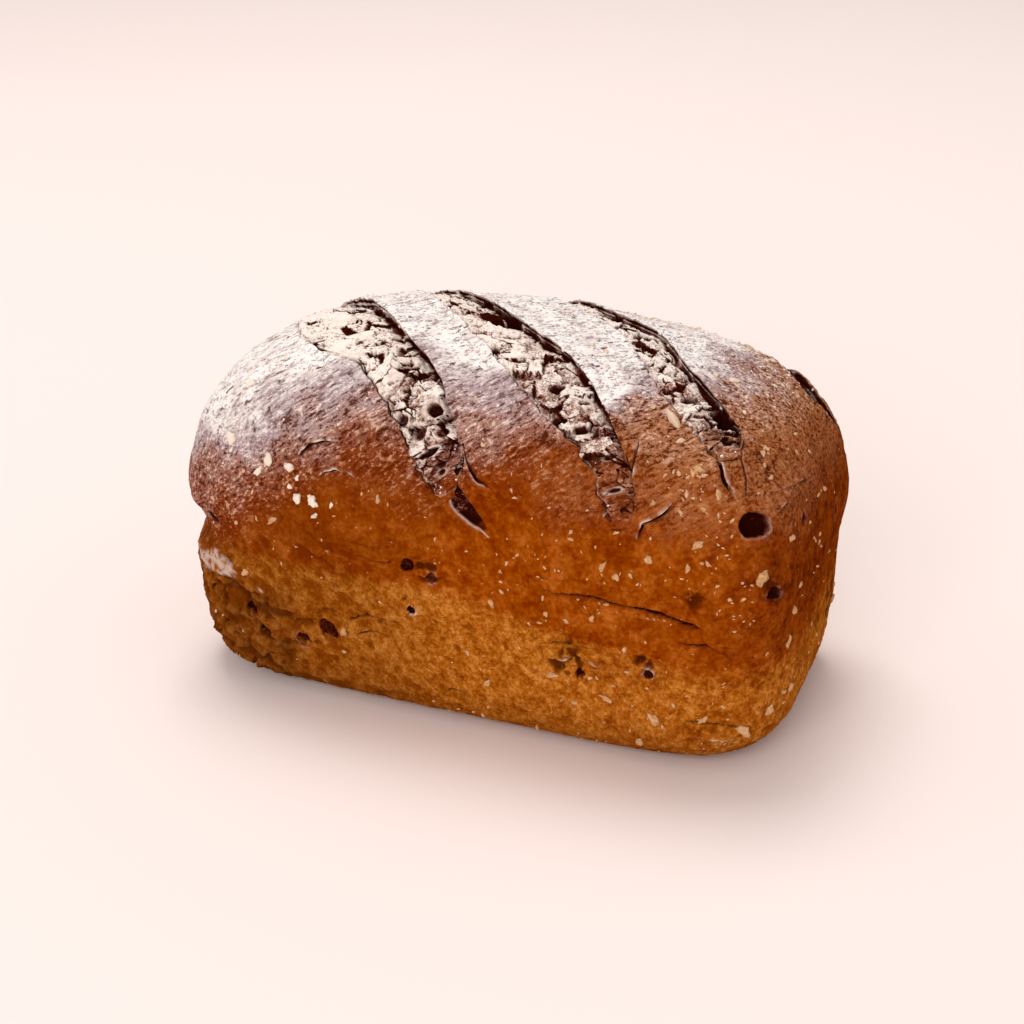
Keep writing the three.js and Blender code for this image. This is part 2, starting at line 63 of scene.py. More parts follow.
# Each slash from the far side to the seen side: (x, turn) of its left edge, (x, turn) of its right edge, where
# turn is in degrees round the long axis from the crown towards the seen side. Then its depth and how much crumb shows
# in it. The last is a small pocket that tore open below the first slash's foot, with no crumb.
SLASHES = [
    ([(-88, -44, -80, -46), (-84, -22, -66, -25), (-77, 3, -52, -6), (-61, 30, -38, 12), (-38, 40, -26, 25),
      (-26, 49, -13.5, 35.5), (-18, 57, -3.6, 46.8), (-12, 66, 2.6, 56.8), (-7, 71, 3.8, 63.2), (-3, 74, 1.0, 71)],
     4.8, 1.0),
    ([(-58, -46, -52, -48), (-43, -23, -30, -24), (-30, -6, -15, -10), (-13, 14, 3, 6), (2, 28, 18, 18),
      (16, 40, 32, 29), (30, 50, 43, 41), (40, 57, 51, 52), (46, 66, 56, 62), (50, 72, 56, 71)], 4.6, 1.0),
    ([(-18, -48, -12, -50), (0, -28, 12, -30), (16, -13, 30, -15), (33, 0, 45.5, -6), (45, 15, 56.5, 8.5),
      (54, 28, 66.5, 18.5), (63, 37, 74, 27), (69, 43, 79, 33), (73, 47, 82, 39), (77, 49, 82, 45)], 3.8, 1.0),
    ([(44, -70, 49, -73), (58, -58, 64, -63), (70, -45, 75, -54), (79, -33, 84, -45), (88, -31, 92, -45),
      (94, -42, 96, -54)], 4.2, 0.6),
    ([(-1.5, 71.5, 2.5, 68.0), (0.5, 75.0, 5.2, 70.6), (4.0, 77.6, 8.4, 73.6), (7.6, 79.6, 11.2, 76.6),
      (10.8, 80.4, 12.6, 78.8)], 4.6, 0.0),
]

# The section of a slash: how far through its columns, share of the way across, millimetres aside, and share of the
# depth where crumb fills it and where it is empty. Crumb stands over a groove at the left edge and sinks to a low
# wall with a ledge below the right lip. An empty one falls to a deep wall that is undercut.
SLASH_SECTION = np.array([
    (0.00, 0.00, -4.6, 0.00, 0.00), (0.075, 0.00, -0.6, 0.00, 0.00), (0.10, 0.00, -0.1, 0.06, 0.02),
    (0.125, 0.00, 0.25, 0.24, 0.10), (0.155, 0.00, 0.6, 0.08, 0.20), (0.20, 0.08, 0.0, 0.03, 0.32),
    (0.36, 0.35, 0.0, 0.14, 0.48), (0.50, 0.62, 0.0, 0.28, 0.64), (0.60, 0.82, 0.0, 0.48, 0.84),
    (0.66, 0.95, 0.0, 0.72, 1.06), (0.69, 1.00, 0.4, 0.68, 0.92), (0.72, 1.00, 0.3, 0.44, 0.70),
    (0.74, 1.00, -0.5, 0.34, 0.55), (0.765, 1.00, 0.2, 0.24, 0.36), (0.79, 1.00, -0.4, 0.10, 0.14),
    (0.81, 1.00, -1.2, -0.02, -0.02), (0.83, 1.00, -1.0, 0.00, 0.00), (0.87, 1.00, 0.6, 0.00, 0.00),
    (1.00, 1.00, 8.2, 0.00, 0.00),
])

# Creases that open under a fold: points near the crust, how wide and how deep each is, how high the fold's edge
# stands on the side to the left of the line as seen from outside, and how pale that edge is.
CREASES = [
    ([(28, -54, 57.4), (48, -54, 58.6), (70, -53, 56.0), (86, -48, 47.8)], 6.0, 3.8, 2.2, 0.0),
    ([(70, -53, 48.0), (79, -51, 48.5), (86, -48, 46.5)], 5.0, 3.0, 1.0, 0.0),
    ([(-53, -54, 61.5), (-46, -54, 57.4), (-39, -54, 52.0)], 3.4, 2.6, 1.5, 0.0),
    ([(-35, -54, 58.0), (-22, -54, 57.2), (-11, -54, 61.5)], 3.0, 2.0, 0.7, 0.0),
    ([(-80, -49, 20), (-74, -50, 15), (-65, -50, 10)], 3.4, 3.0, 1.2, 0.0),
    ([(-80, -50, 30), (-73, -51, 25), (-63, -51, 20), (-60, -52, 12)], 3.4, 3.0, 1.0, 0.0),
    ([(-88, -48, 33), (-82, -49, 36), (-75, -50, 35)], 2.6, 2.4, 0.6, 0.0),
    ([(-32, -52, 32), (-27, -53, 33.5), (-20, -53, 33.5)], 2.6, 2.6, 0.7, 0.0),
    ([(-82, -49, 52), (-76, -51, 47), (-70, -52, 45)], 2.6, 2.0, 0.9, 0.0),
    ([(53, -42, 101), (53, -47, 94), (52, -50, 88), (49, -52, 84)], 2.6, 2.8, 1.9, 0.35),
    ([(46, -52, 81), (50, -51, 85.5), (54, -50, 84.5)], 2.2, 2.2, 1.5, 0.8),
    ([(56, -52, 76.5), (58, -52, 81), (62, -51, 83.5), (66, -50, 87.5)], 2.6, 2.4, 1.9, 0.5),
    ([(-50, -52, 84), (-45, -51.5, 88.5), (-37, -51.5, 90)], 2.4, 1.6, 1.5, 0.95),
    ([(-42, -53, 79.5), (-37, -53, 82), (-30, -53.5, 81)], 2.0, 1.3, 1.1, 0.6),
    ([(75, -32, 104), (76, -38, 99), (79, -42, 93), (84, -44, 87)], 2.2, 2.2, 1.3, 0.4),
    ([(81, -32, 100), (83, -37, 95), (86, -42, 89)], 1.6, 0.9, 0.6, 0.1),
    ([(12, -53.5, 84), (7, -53, 87), (3, -51, 93)], 2.0, 1.4, 1.0, 0.3),
    ([(-8, -53, 82), (-4, -53, 84), (-3, -52, 88)], 2.0, 2.2, 0.9, 0.6),
    ([(95, -38, 84), (96, -32, 86), (97, -24, 89)], 2.0, 1.4, 0.9, 0.2),
    ([(96, -36, 90), (98, -24, 88), (99, -10, 86)], 2.4, 1.4, 1.0, 0.1),
    ([(31, -53, 36), (36, -53, 37), (45, -53, 36)], 2.6, 1.8, 1.2, 0.5),
    ([(91.5, -44, 34), (93.5, -41, 36.5), (95, -38, 39)], 2.2, 2.2, 0.5, 0.0),
    ([(74, -49.5, 19.5), (80, -48, 18.8), (86, -46, 17.5)], 1.6, 0.8, 0.8, 0.6),
    ([(-70, 52, 50), (-38, 54, 55), (-6, 54, 52), (20, 54, 54)], 2.4, 2.6, 0.8, 0.0),
    ([(99, -24, 46), (100, -4, 50), (99, 20, 47)], 2.2, 2.0, 0.8, 0.0),
]
# The section of a crease: how far through its columns, millimetres aside, and share of the depth and of the lift.
CREASE_SECTION = np.array([
    (0.00, -4.6, 0.00, 0.0), (0.22, -1.6, 0.00, 0.05), (0.36, -0.7, 0.25, 0.0), (0.48, 0.1, 0.95, 0.0),
    (0.56, 0.8, 0.95, 0.0), (0.64, 0.7, 0.45, 0.1), (0.70, 0.0, 0.10, 0.5), (0.76, -0.2, 0.00, 0.95),
    (0.82, 0.4, 0.00, 1.0), (0.90, 1.9, 0.00, 0.45), (1.00, 4.6, 0.00, 0.0),
])

# Broad raised folds: points near the crust, how wide, how high, and how much flour lies on them.
FOLDS = [
    ([(26, -54, 61.5), (47, -54, 62.6), (70, -53, 59.6), (86, -48, 51.5)], 8.0, 1.5, 0.0),
    ([(-94, -41, 42), (-87, -46, 42), (-80, -49, 43.5), (-72, -51, 45)], 8.0, 1.4, 0.5),
    ([(-90, -45, 62), (-82, -50, 60), (-77, -51, 54)], 5.0, 1.8, 0.0),
    ([(3, -52, 86), (8, -53, 81), (14, -53, 76)], 5.0, 1.0, 0.0),
]

# Rough scars, where the dough tore a little: a point near each, and its radius.
SCARS = [((37, -52, 33), 6), ((60, -52, 36), 4), ((-7, -53, 54), 5), ((73, -51, 60), 5), ((94, -42, 63), 6),
         ((100, -14, 50), 5), ((60, 52, 30), 8), ((-99, -8, 44), 8), ((98, 20, 30), 8), ((88, -30, 96), 7)]

# Burst bubbles in the crust: the middle of each, its radius and depth, and how pale its rim is.
BUBBLES = [
    ((88, -43, 82), 4.0, 4.6, 0.2), ((-84, -50, 58), 2.5, 3.0, 0.2), ((-68, -51, 32), 2.3, 2.8, 0.0),
    ((-62.5, -51, 26), 2.4, 2.6, 0.0), ((-13.5, -54, 57), 2.3, 2.0, 0.0), ((-6, -54, 54), 2.0, 0.9, 0.2),
    ((-12.6, -53, 43), 1.4, 1.6, 0.7), ((-50, -52, 26.5), 2.4, 1.2, 0.1), ((-41, -52, 31), 3.2, 1.5, 0.0),
    ((39.4, -52.5, 33), 1.8, 2.0, 0.0), ((60.3, -52.2, 37), 1.5, 1.4, 0.4), ((0, -51, 14), 2.0, 1.1, 0.0),
    ((95, -42.5, 63), 2.2, 2.0, 0.1), ((45, 54, 40), 3.0, 1.8, 0.0), ((-38, 54, 66), 2.6, 2.0, 0.2),
    ((99, 12, 66), 2.6, 2.0, 0.1), ((-98, 14, 78), 2.8, 2.0, 0.2), ((97, -24, 78), 2.0, 1.5, 0.1),
]

# Bubbles and rifts in the torn crumb: which slash, shares along and across it, half width along the slash, depth,
# height of its ring, and how many times longer it is across the slash than along it.
CRUMB_BUBBLES = [
    (0, 0.672, 0.69, 2.4, 2.8, 1.6, 1.0), (0, 0.523, 0.57, 2.3, 0.9, 0.9, 1.4), (0, 0.412, 0.56, 1.1, 2.2, 0.2, 1.8),
    (0, 0.538, 0.24, 0.8, 0.9, 0.1, 1.3), (0, 0.578, 0.38, 1.0, 1.2, 0.2, 1.4), (0, 0.650, 0.13, 1.8, 1.5, 1.6, 1.1),
    (0, 0.705, 0.27, 2.0, 1.1, 0.9, 1.3), (0, 0.765, 0.36, 1.1, 1.8, 0.8, 2.4), (0, 0.467, 0.06, 1.2, 2.0, 0.0, 1.0),
    (0, 0.402, 0.87, 0.9, 2.2, 0.0, 2.2), (0, 0.305, 0.56, 0.9, 1.8, 0.0, 5.5), (0, 0.332, 0.10, 0.8, 1.8, 0.0, 4.0),
    (0, 0.730, 0.66, 1.4, 1.2, 0.7, 1.3), (0, 0.860, 0.40, 0.9, 1.4, 0.3, 1.6), (0, 0.440, 0.30, 0.8, 1.2, 0.3, 2.6),
    (1, 0.240, 0.84, 3.4, 4.2, 0.0, 1.6), (1, 0.325, 0.84, 3.6, 4.6, 0.0, 1.5), (1, 0.285, 0.28, 1.2, 2.4, 0.0, 3.0),
    (1, 0.440, 0.06, 1.8, 2.6, 0.0, 1.0), (1, 0.380, 0.04, 1.2, 2.4, 0.0, 1.8), (1, 0.578, 0.48, 1.7, 2.4, 0.2, 1.6),
    (1, 0.693, 0.34, 1.7, 2.4, 0.8, 1.3), (1, 0.653, 0.08, 1.6, 2.2, 0.0, 1.8), (1, 0.625, 0.72, 0.8, 1.6, 0.0, 2.4),
    (1, 0.130, 0.60, 1.6, 2.6, 0.0, 3.0), (1, 0.400, 0.55, 1.0, 2.0, 0.0, 3.0), (1, 0.790, 0.60, 0.7, 1.4, 0.3, 3.0),
    (1, 0.480, 0.30, 0.9, 1.8, 0.0, 2.6), (1, 0.880, 0.40, 0.7, 1.4, 0.4, 3.0),
    (2, 0.146, 0.70, 2.4, 3.6, 0.0, 1.4), (2, 0.221, 0.80, 2.8, 4.0, 0.0, 1.6), (2, 0.290, 0.30, 1.6, 2.4, 0.0, 1.4),
    (2, 0.352, 0.54, 2.8, 3.0, 0.4, 1.5), (2, 0.470, 0.12, 1.2, 2.0, 0.0, 2.0), (2, 0.430, 0.80, 1.2, 2.6, 0.0, 2.0),
    (2, 0.700, 0.86, 4.2, 5.4, 0.3, 1.0), (2, 0.600, 0.50, 1.4, 1.6, 0.2, 2.0), (2, 0.860, 0.55, 1.6, 1.6, 0.3, 1.2),
    (3, 0.442, 0.75, 2.6, 3.4, 0.0, 1.4), (3, 0.700, 0.60, 2.6, 3.0, 0.3, 1.2), (3, 0.860, 0.55, 2.0, 2.2, 0.3, 1.0),
]

# Flakes that lie at a known place: a point near each, its length, width and thickness.
PLACED_FLAKES = [
    ((-75, -48, 85), (4.2, 3.2, 1.8)), ((-60, -51, 81), (4.6, 3.2, 2.0)), ((-52.5, -52, 80), (3.6, 2.8, 2.0)),
    ((-50, -53.5, 71), (3.6, 2.8, 2.0)), ((-45, -54, 71), (4.0, 3.2, 2.0)), ((-41, -52, 27.5), (4.2, 4.0, 2.4)),
    ((-59, -54, 62), (3.8, 1.7, 1.2)), ((-40.7, -54, 56), (3.2, 2.2, 1.6)), ((64, -51, 18.6), (5.0, 2.6, 1.4)),
    ((59, -49, 8), (4.8, 2.4, 1.4)), ((88, -44, 16), (5.0, 3.6, 2.0)), ((49, -52, 22), (3.8, 1.8, 1.2)),
    ((63, -33, 106), (6.4, 4.6, 3.0)), ((92, -45, 67), (5.0, 3.4, 2.0)), ((95, -38, 21), (3.6, 3.0, 1.4)),
    ((78, -49, 20), (3.6, 1.6, 1.2)), ((98, -32, 42), (3.0, 2.4, 1.4)), ((61, -53, 71), (2.8, 2.6, 1.4)),
    ((52, -55, 64), (2.4, 2.2, 1.2)), ((-71.5, -51, 43.5), (3.6, 3.0, 2.0)),
]

# Where flakes lie close together on the dome: the middle of each patch and how far it spreads.
PATCHES = [((-74, -47, 88), 6.0), ((-71, -48, 84), 4.0), ((-60, -51, 79), 4.0), ((-51, -53, 72), 6.0),
           ((-46, -53, 72), 4.0), ((-56, -53, 68), 5.0), ((-22, -53, 72), 5.0), ((-31, -53, 68), 5.0)]

# How brown the crumb of each slash is, from 0 for its darkest to 1 for its palest.
CRUMB_TONES = (0.58, 0.47, 0.58, 0.58, 0.55)

# Stations along a slash and along a crease where a point's place in it is looked for.
SLASH_STATIONS = 90
CREASE_STATIONS = 40

# Squares of the crust's grid along each axis: just under 200,000 triangles in all.
CRUST_GRID = (182, 96, 108)

# The width of the photograph's frame, in pixels.
PHOTO_PIXELS = 1024


# ---- Numbers on arrays ------------------------------------------------------------------------------------

def smooth(low, high, x):
    """0 up to low, 1 from high, and t * t * (3 - 2t) between them, where t is the share of the way."""
    t = np.clip((x - low) / (high - low), 0, 1)
    return t * t * (3 - 2 * t)


def bell(distance, wide):
    """exp of minus the squared ratio of distance to width."""
    return np.exp(-(distance / wide) ** 2)


def unit(v):
    """Each vector over its own length."""
    return v / (np.linalg.norm(v, axis=-1, keepdims=True) + 1e-12)


def chances(cell, seed):
    """Three numbers from 0 to 1 for each whole-numbered cell: its coordinates and the seed are multiplied by odd
    constants and folded together, and the result is parted into three runs of ten bits."""
    c = cell.astype(np.int64).astype(np.uint32)
    h = c[..., 0] * np.uint32(374761393) ^ c[..., 1] * np.uint32(668265263) ^ c[..., 2] * np.uint32(2246822519)
    h = (h ^ np.uint32(seed * 7919 + 17)) * np.uint32(3266489917)
    h = (h ^ (h >> np.uint32(15))) * np.uint32(1274126177)
    h = h ^ (h >> np.uint32(16))
    return np.stack([h & 1023, (h >> np.uint32(10)) & 1023, (h >> np.uint32(20)) & 1023], -1) / 1023.0


def noise(p, wide, seed=0):
    """Gradient noise from about -1 to 1 with bumps `wide` across: at each corner of the cell a random gradient is
    dotted with the way from that corner, and the eight are blended by smooth steps."""
    q = p / wide
    cell = np.floor(q)
    f = q - cell
    w = f * f * f * (f * (f * 6 - 15) + 10)
    total = 0
    for corner in np.ndindex(2, 2, 2):
        share = np.prod(np.where(corner, w, 1 - w), axis=-1)
        total = total + share * ((f - corner) * (chances(cell + corner, seed) * 2 - 1)).sum(-1)
    return total * 1.6


def octaves(p, wide, count, seed=0):
    """Noise plus noise of half its width and 0.55 of its height, and so on."""
    return sum(0.55 ** k * noise(p, wide / 2 ** k, seed + k) for k in range(count))


def lumps(p, wide, seed=0):
    """For points scattered one to a cell: the distance to the nearest and the second nearest, over the cell's
    width, a random number that belongs to the nearest, and the way from it."""
    q = p / wide
    cell = np.floor(q)
    first = np.full(len(q), 9.0)
    second = first.copy()
    own = np.zeros(len(q))
    way = np.zeros((len(q), 3))
    for step in np.ndindex(3, 3, 3):
        at = cell + np.array(step) - 1
        spot = chances(at, seed)
        distance = np.linalg.norm(q - at - spot, axis=-1)
        nearer = distance < first
        second = np.where(nearer, first, np.minimum(second, distance))
        own = np.where(nearer, (spot[:, 0] * 7.3 + spot[:, 1] * 3.1) % 1.0, own)
        way = np.where(nearer[:, None], q - at - spot, way)
        first = np.where(nearer, distance, first)
    return first, second, own, way


def through(points, t):
    """A smooth line through points at shares t of their count: the uniform cubic whose slope at each point is half
    the way between its neighbours. Beyond the ends it goes straight on."""
    points = np.asarray(points, float)
    t = np.asarray(t, float)
    last = len(points) - 1
    inside = np.clip(t, 0, 1) * last
    i = np.minimum(inside.astype(int), last - 1)
    u = (inside - i)[:, None]
    padded = np.vstack([2 * points[0] - points[1], points, 2 * points[-1] - points[-2]])
    a, b, c, d = (padded[i + k] for k in range(4))
    line = b + 0.5 * u * (c - a + u * (2 * a - 5 * b + 4 * c - d + u * (3 * (b - c) + d - a)))
    beyond = (t - np.clip(t, 0, 1))[:, None] * last
    return line + beyond * np.where(beyond < 0, points[1] - points[0], points[-1] - points[-2])


# ---- The loaf's form --------------------------------------------------------------------------------------

class Form:
    """The loaf before it was slashed. In coordinates where the belt's half length and half width and the heights
    above and below it are 1, its surface is where |x|^a + |y|^b + |z|^c is 1. The exponents a and b run from 5.7 by
    the tin to 2.3 and 2.6 at the crown, and c is 2.63 above the belt and 12 below it."""

    def __init__(self, size):
        self.half = np.array([size.half_length, size.half_width]) / MM
        self.height = size.height / MM
        self.belt = size.belt / MM
        self.overhang = size.overhang / MM
        self.rim = 47.0
        self.draft = 2.5
        self.foot = 1.2

    def level(self, q):
        """The sum of the three powers, with exponents that go over smoothly as the direction climbs."""
        rise = smooth(-0.1, 0.9, q[:, 2] / (np.linalg.norm(q, axis=1) + 1e-6))
        up = np.where(q[:, 2] > 0, 2.63, 12.0)
        a = np.abs(q)
        return a[:, 0] ** (5.7 - 3.4 * rise) + a[:, 1] ** (5.7 - 3.13 * rise) + a[:, 2] ** up

    def cast(self, start, way):
        """Where rays leave the surface, found by halving the stretch between inside and outside."""
        inside, outside = np.zeros(len(way)), np.full(len(way), 1.6)
        for _ in range(24):
            middle = (inside + outside) / 2
            out = self.level(start + way * middle[:, None]) > 1
            inside, outside = np.where(out, inside, middle), np.where(out, middle, outside)
        return start + way * ((inside + outside) / 2)[:, None]

    def to_mm(self, q):
        """Scaled up, drawn in towards the tin's foot, swollen at the belt by a bell, and flat underneath."""
        z = self.belt + q[:, 2] * np.where(q[:, 2] > 0, self.height - self.belt, self.belt)
        out = self.overhang * (bell(z - self.belt, 13.5) - 1) - self.draft * np.maximum(1 - z / self.rim, 0)
        flat = np.maximum(z - self.foot, 0) * self.height / (self.height - self.foot)
        return np.column_stack([q[:, 0] * (self.half[0] + out), q[:, 1] * (self.half[1] + out), flat])

    def from_mm(self, p):
        """Back to the plain form's coordinates, without its overhang and draft."""
        above = p[:, 2] - self.belt
        high = above / np.where(above > 0, self.height - self.belt, self.belt)
        return np.column_stack([p[:, :2] / self.half, high])

    def crust(self, p):
        """The surface on the ray from the loaf's heart through each point."""
        way = self.from_mm(p)
        way = way / np.abs(way).max(axis=1, keepdims=True)
        return self.to_mm(self.cast(np.zeros(3), way))

    def round_crust(self, x, degrees):
        """The surface at x, turned round the long axis."""
        x, turn = np.asarray(x, float), np.radians(degrees)
        start = np.column_stack([x / self.half[0], 0 * x, 0 * x])
        return self.to_mm(self.cast(start, np.column_stack([0 * x, -np.sin(turn), np.cos(turn)])))

    def outward(self, p):
        """The slope of the level, over each side's own scale."""
        q = self.from_mm(p)
        scale = [self.half[0], self.half[1], self.height - self.belt]
        slopes = []
        for axis in range(3):
            step = np.zeros(3)
            step[axis] = 1e-3
            slopes.append((self.level(q + step) - self.level(q - step)) / scale[axis])
        slopes[2] = slopes[2] * np.where(q[:, 2] > 0, 1, scale[2] / self.belt)
        return unit(np.stack(slopes, -1))


def swell(p):
    """How far the dough stands out past the plain form: soft bells at given places, a broad unevenness, and a pinch
    over the tin's rim that is deepest at the far end. The foot stays flat."""
    high = sum(rise * bell(np.linalg.norm(p - np.array(at), axis=1), wide) for at, wide, rise in SWELLS)
    high = high + 0.9 * noise(p, 31, 1) + 0.5 * noise(p, 15, 2)
    high = high - (0.5 + 3.7 * smooth(-62, -94, p[:, 0])) * bell(p[:, 2] - 52, 6.5)
    return high * smooth(0, 11, p[:, 2])


def gold_share(p):
    """Where the tin kept the crust golden and rough: low on the loaf, most on the left of the seen side, with a
    wavy upper edge."""
    top = 47 - 8 * smooth(5, 45, p[:, 0]) + 7 * noise(p, 22, 5)
    return smooth(top + 7, top - 9, p[:, 2]) * (1 - 0.42 * smooth(8, 50, p[:, 0] + 8 * noise(p, 17, 6)))


def flour_share(p):
    """How thickly flour lies, from 0 at the belt to 1 at the crown. Lines through given heights along the loaf say
    where it is full and over how many millimetres it fades below that: it reaches low at the far end and leaves the
    near dome almost bare. Noise moves its edge, it fades as the mean of the share of the way and its cube, and a
    breath of it lies on the whole dome."""
    full = np.interp(p[:, 0], [-100, -80, -60, -36, -10, 12, 35, 50, 62, 82, 92, 100],
                     [85, 89, 101, 115, 115, 114.5, 112, 116, 121, 126, 135, 142])
    full = full - 9 * smooth(-28, 2, p[:, 1]) * smooth(35, 65, p[:, 0])
    wide = np.interp(p[:, 0], [-100, 0, 20, 35, 50, 64, 100], [48, 46, 32, 20, 22, 40, 48])
    height = p[:, 2] + 6 * noise(p, 26, 7) + 3.5 * noise(p, 10, 8)
    t = np.clip((height - full) / wide + 1, 0, 1)
    return np.maximum(0.5 * (t + t ** 3), 0.14 * smooth(70, 90, height))


def ridged(p, wide, seed):
    """Narrow ridges between broad hollows: 1 less the size of noise of two octaves."""
    return 1 - np.minimum(1, 1.6 * np.abs(octaves(p, wide, 2, seed)))


def skin(p):
    """The crust's own fine relief, where it shows dark, and a tone from 0 to 1 that is higher on its ridges and lower
    in its hollows. The dark is partly the corner's own darker tone and partly painted shade in the pores, in the gaps
    between the corner's plates and in the hollows of the scars, and the tone paints light on ridges and shade in
    hollows. It is noise, with wrinkles drawn out along one direction on the dome, curled ridges and pores where it is
    golden, lumps low on the far half, folds between plates at its corner, and torn scars."""
    gold = gold_share(p)
    dome = smooth(66, 92, p[:, 2])
    fine = 0.14 * noise(p, 3.2, 11) + 0.10 * noise(p, 1.9, 12) + 0.22 * noise(p, 8, 17)
    drawn = p @ np.array([[0.79, 0.38, 0.48], [-0.42, 0.91, 0.0], [-0.44, -0.20, 0.88]]).T / np.array([2.6, 1, 1])
    wrinkles = 0.42 * (ridged(drawn, 4.2, 18) - 0.7) + 0.2 * noise(drawn, 2.2, 19)
    curled = 0.6 * (ridged(p + 2.5 * noise(p, 9, 20)[:, None], 4.4, 13) - 0.72) + 0.25 * noise(p, 2.4, 21)
    near, _, own, _ = lumps(p, 2.9, 14)
    pores = (own > 0.6) * smooth(0.42, 0.12, near)
    corner = smooth(-50, -60, p[:, 0]) * smooth(42, 30, p[:, 2]) * smooth(-20, -40, p[:, 1])
    big, next_big, own_big, _ = lumps(p + 2 * noise(p, 8, 16)[:, None], 12.5, 15)
    gap = smooth(0.13, 0.02, next_big - big) * smooth(-0.3, 0.2, noise(p, 10, 37))
    folded = 0.9 * (0.5 - big) + 0.8 * (own_big - 0.5) - 1.5 * gap
    scar = np.zeros(len(p))
    for at, radius in SCARS:
        scar = np.maximum(scar, bell(np.linalg.norm(p - np.array(at), axis=1), radius))
    scar = smooth(0.3, 0.8, scar + 0.5 * noise(p, 6, 32))
    torn = 1.3 * (ridged(p, 4.5, 33) - 0.8)
    lumpy = smooth(5, -45, p[:, 0] + 12 * noise(p, 20, 39)) * smooth(66, 54, p[:, 2])
    bumps = 0.85 * (ridged(p + 3 * noise(p, 11, 40)[:, None], 8.5, 41) - 0.68) + 0.3 * noise(p, 4.2, 43)
    relief = fine + dome * wrinkles + gold * (curled - 0.4 * pores) + scar * torn + lumpy * bumps
    high = relief + corner * folded
    # The corner's own darker tone, and painted shade in the pores, in the gaps between the corner's plates and in the
    # hollows of the scars.
    dark = gold * 0.6 * pores + corner * (0.55 + gap + 0.3 * noise(p, 7, 36)) + scar * smooth(0.1, -0.5, torn)
    dark = np.clip(dark, 0, 1)
    # The last value is painted light and shade: higher where the relief stands up, lower where it sinks.
    return high * smooth(0, 5, p[:, 2]), dark, np.clip(0.5 + relief / 1.5, 0, 1)


# ---- Slashes, creases and bubbles as places on the form ---------------------------------------------------

def open_share(t):
    """0 at both ends and 1 in the middle: the square root of a smooth step over the first and last eighth."""
    return np.sqrt(smooth(0, 0.13, np.minimum(t, 1 - t)))


def slash_edges(form, corners, t):
    """The left and right edge of a slash at shares t of its length. Beyond its ends both run on side by side."""
    c = np.array(corners, float)
    lines = [form.round_crust(c[:, 2 * k], c[:, 2 * k + 1]) for k in range(2)]
    ends = [through(line, np.clip(t, 0, 1)) for line in lines]
    on = sum(through(line, t) - end for line, end in zip(lines, ends)) / 2
    return [end + on for end in ends]


def crease_edges(form, path, wide, t):
    """The two edges of a crease at shares t: its line, moved by half its width along the crust to each side."""
    line = form.crust(through(path, t))
    side = unit(np.cross(form.outward(line), unit(np.gradient(line, axis=0))))
    return line - side * wide / 2, line + side * wide / 2


def lip_rise(aside):
    """The height of the curled lip at millimetres outside the right edge: a bell 3.3 wide."""
    return 1.2 * bell(aside - 0.3, 3.3)


def left_rise(aside):
    """The height of the small torn rim at millimetres outside the left edge: a bell 1.5 wide."""
    return 0.6 * bell(aside, 1.5)


def beside(p, left, right, t):
    """For each point, its place in a slash or crease: share along, millimetres outside the left edge, outside the
    right edge and beyond the ends, taken at the station whose line across passes nearest."""
    across = right - left
    wide = np.linalg.norm(across, axis=1)
    best = np.full(len(p), 1e9)
    found = np.zeros((len(p), 4))
    for i in range(len(t)):
        share = (p - left[i]) @ across[i] / wide[i] ** 2
        reach = 9 / wide[i]
        foot = left[i] + np.clip(share, -reach, 1 + reach)[:, None] * across[i]
        distance = np.linalg.norm(p - foot, axis=1)
        nearer = distance < best
        best = np.where(nearer, distance, best)
        row = np.column_stack([np.full(len(p), t[i]), -share * wide[i], (share - 1) * wide[i], distance])
        found = np.where(nearer[:, None], row, found)
    return found.T


def near_line(p, line, reach):
    """Which points lie within reach of a line's box."""
    return ((p > line.min(0) - reach) & (p < line.max(0) + reach)).all(1)


def sunk(form, p, slashes=SLASHES, openings=False, creases=True):
    """How far a surface sinks at points of the crust to make room for the finer pieces laid there: the whole of
    each slash, crease and bubble, less the outermost millimetres where both surfaces run together. A finer piece
    itself makes room only for the openings of the slashes."""
    sink = np.zeros(len(p))
    for corners, deep, _ in slashes:
        t = np.linspace(0, 1, SLASH_STATIONS)
        left, right = slash_edges(form, corners, t)
        near = near_line(p, np.vstack([left, right]), 12)
        along, out_left, out_right, beyond = beside(p[near], left, right, t)
        if openings:
            window = smooth(0.6, -0.6, out_left) * smooth(0.2, -0.8, out_right) * smooth(1.5, 0.5, beyond)
        else:
            window = smooth(2.9, 1.2, out_left) * smooth(5.0, 3.4, out_right) * smooth(2.7, 1.1, beyond)
        sink[near] = np.maximum(sink[near], window * (2.5 + 1.9 * deep * open_share(np.clip(along, 0, 1))))
    for path, _, deep, _, _ in CREASES if creases else []:
        t = np.linspace(0, 1, CREASE_STATIONS)
        left, right = crease_edges(form, path, 1.0, t)
        near = near_line(p, np.vstack([left, right]), 9)
        along, out_left, out_right, beyond = beside(p[near], left, right, t)
        window = smooth(2.6, 1.0, out_left) * smooth(2.6, 1.0, out_right) * smooth(3.2, 1.2, beyond)
        sink[near] = np.maximum(sink[near], window * (deep + 2.0))
    for at, radius, deep, _ in BUBBLES:
        distance = np.linalg.norm(p - form.crust(np.array([at], float))[0], axis=1)
        sink = np.maximum(sink, smooth(radius + 2.0, radius + 0.7, distance) * (deep + 2.0))
    return sink


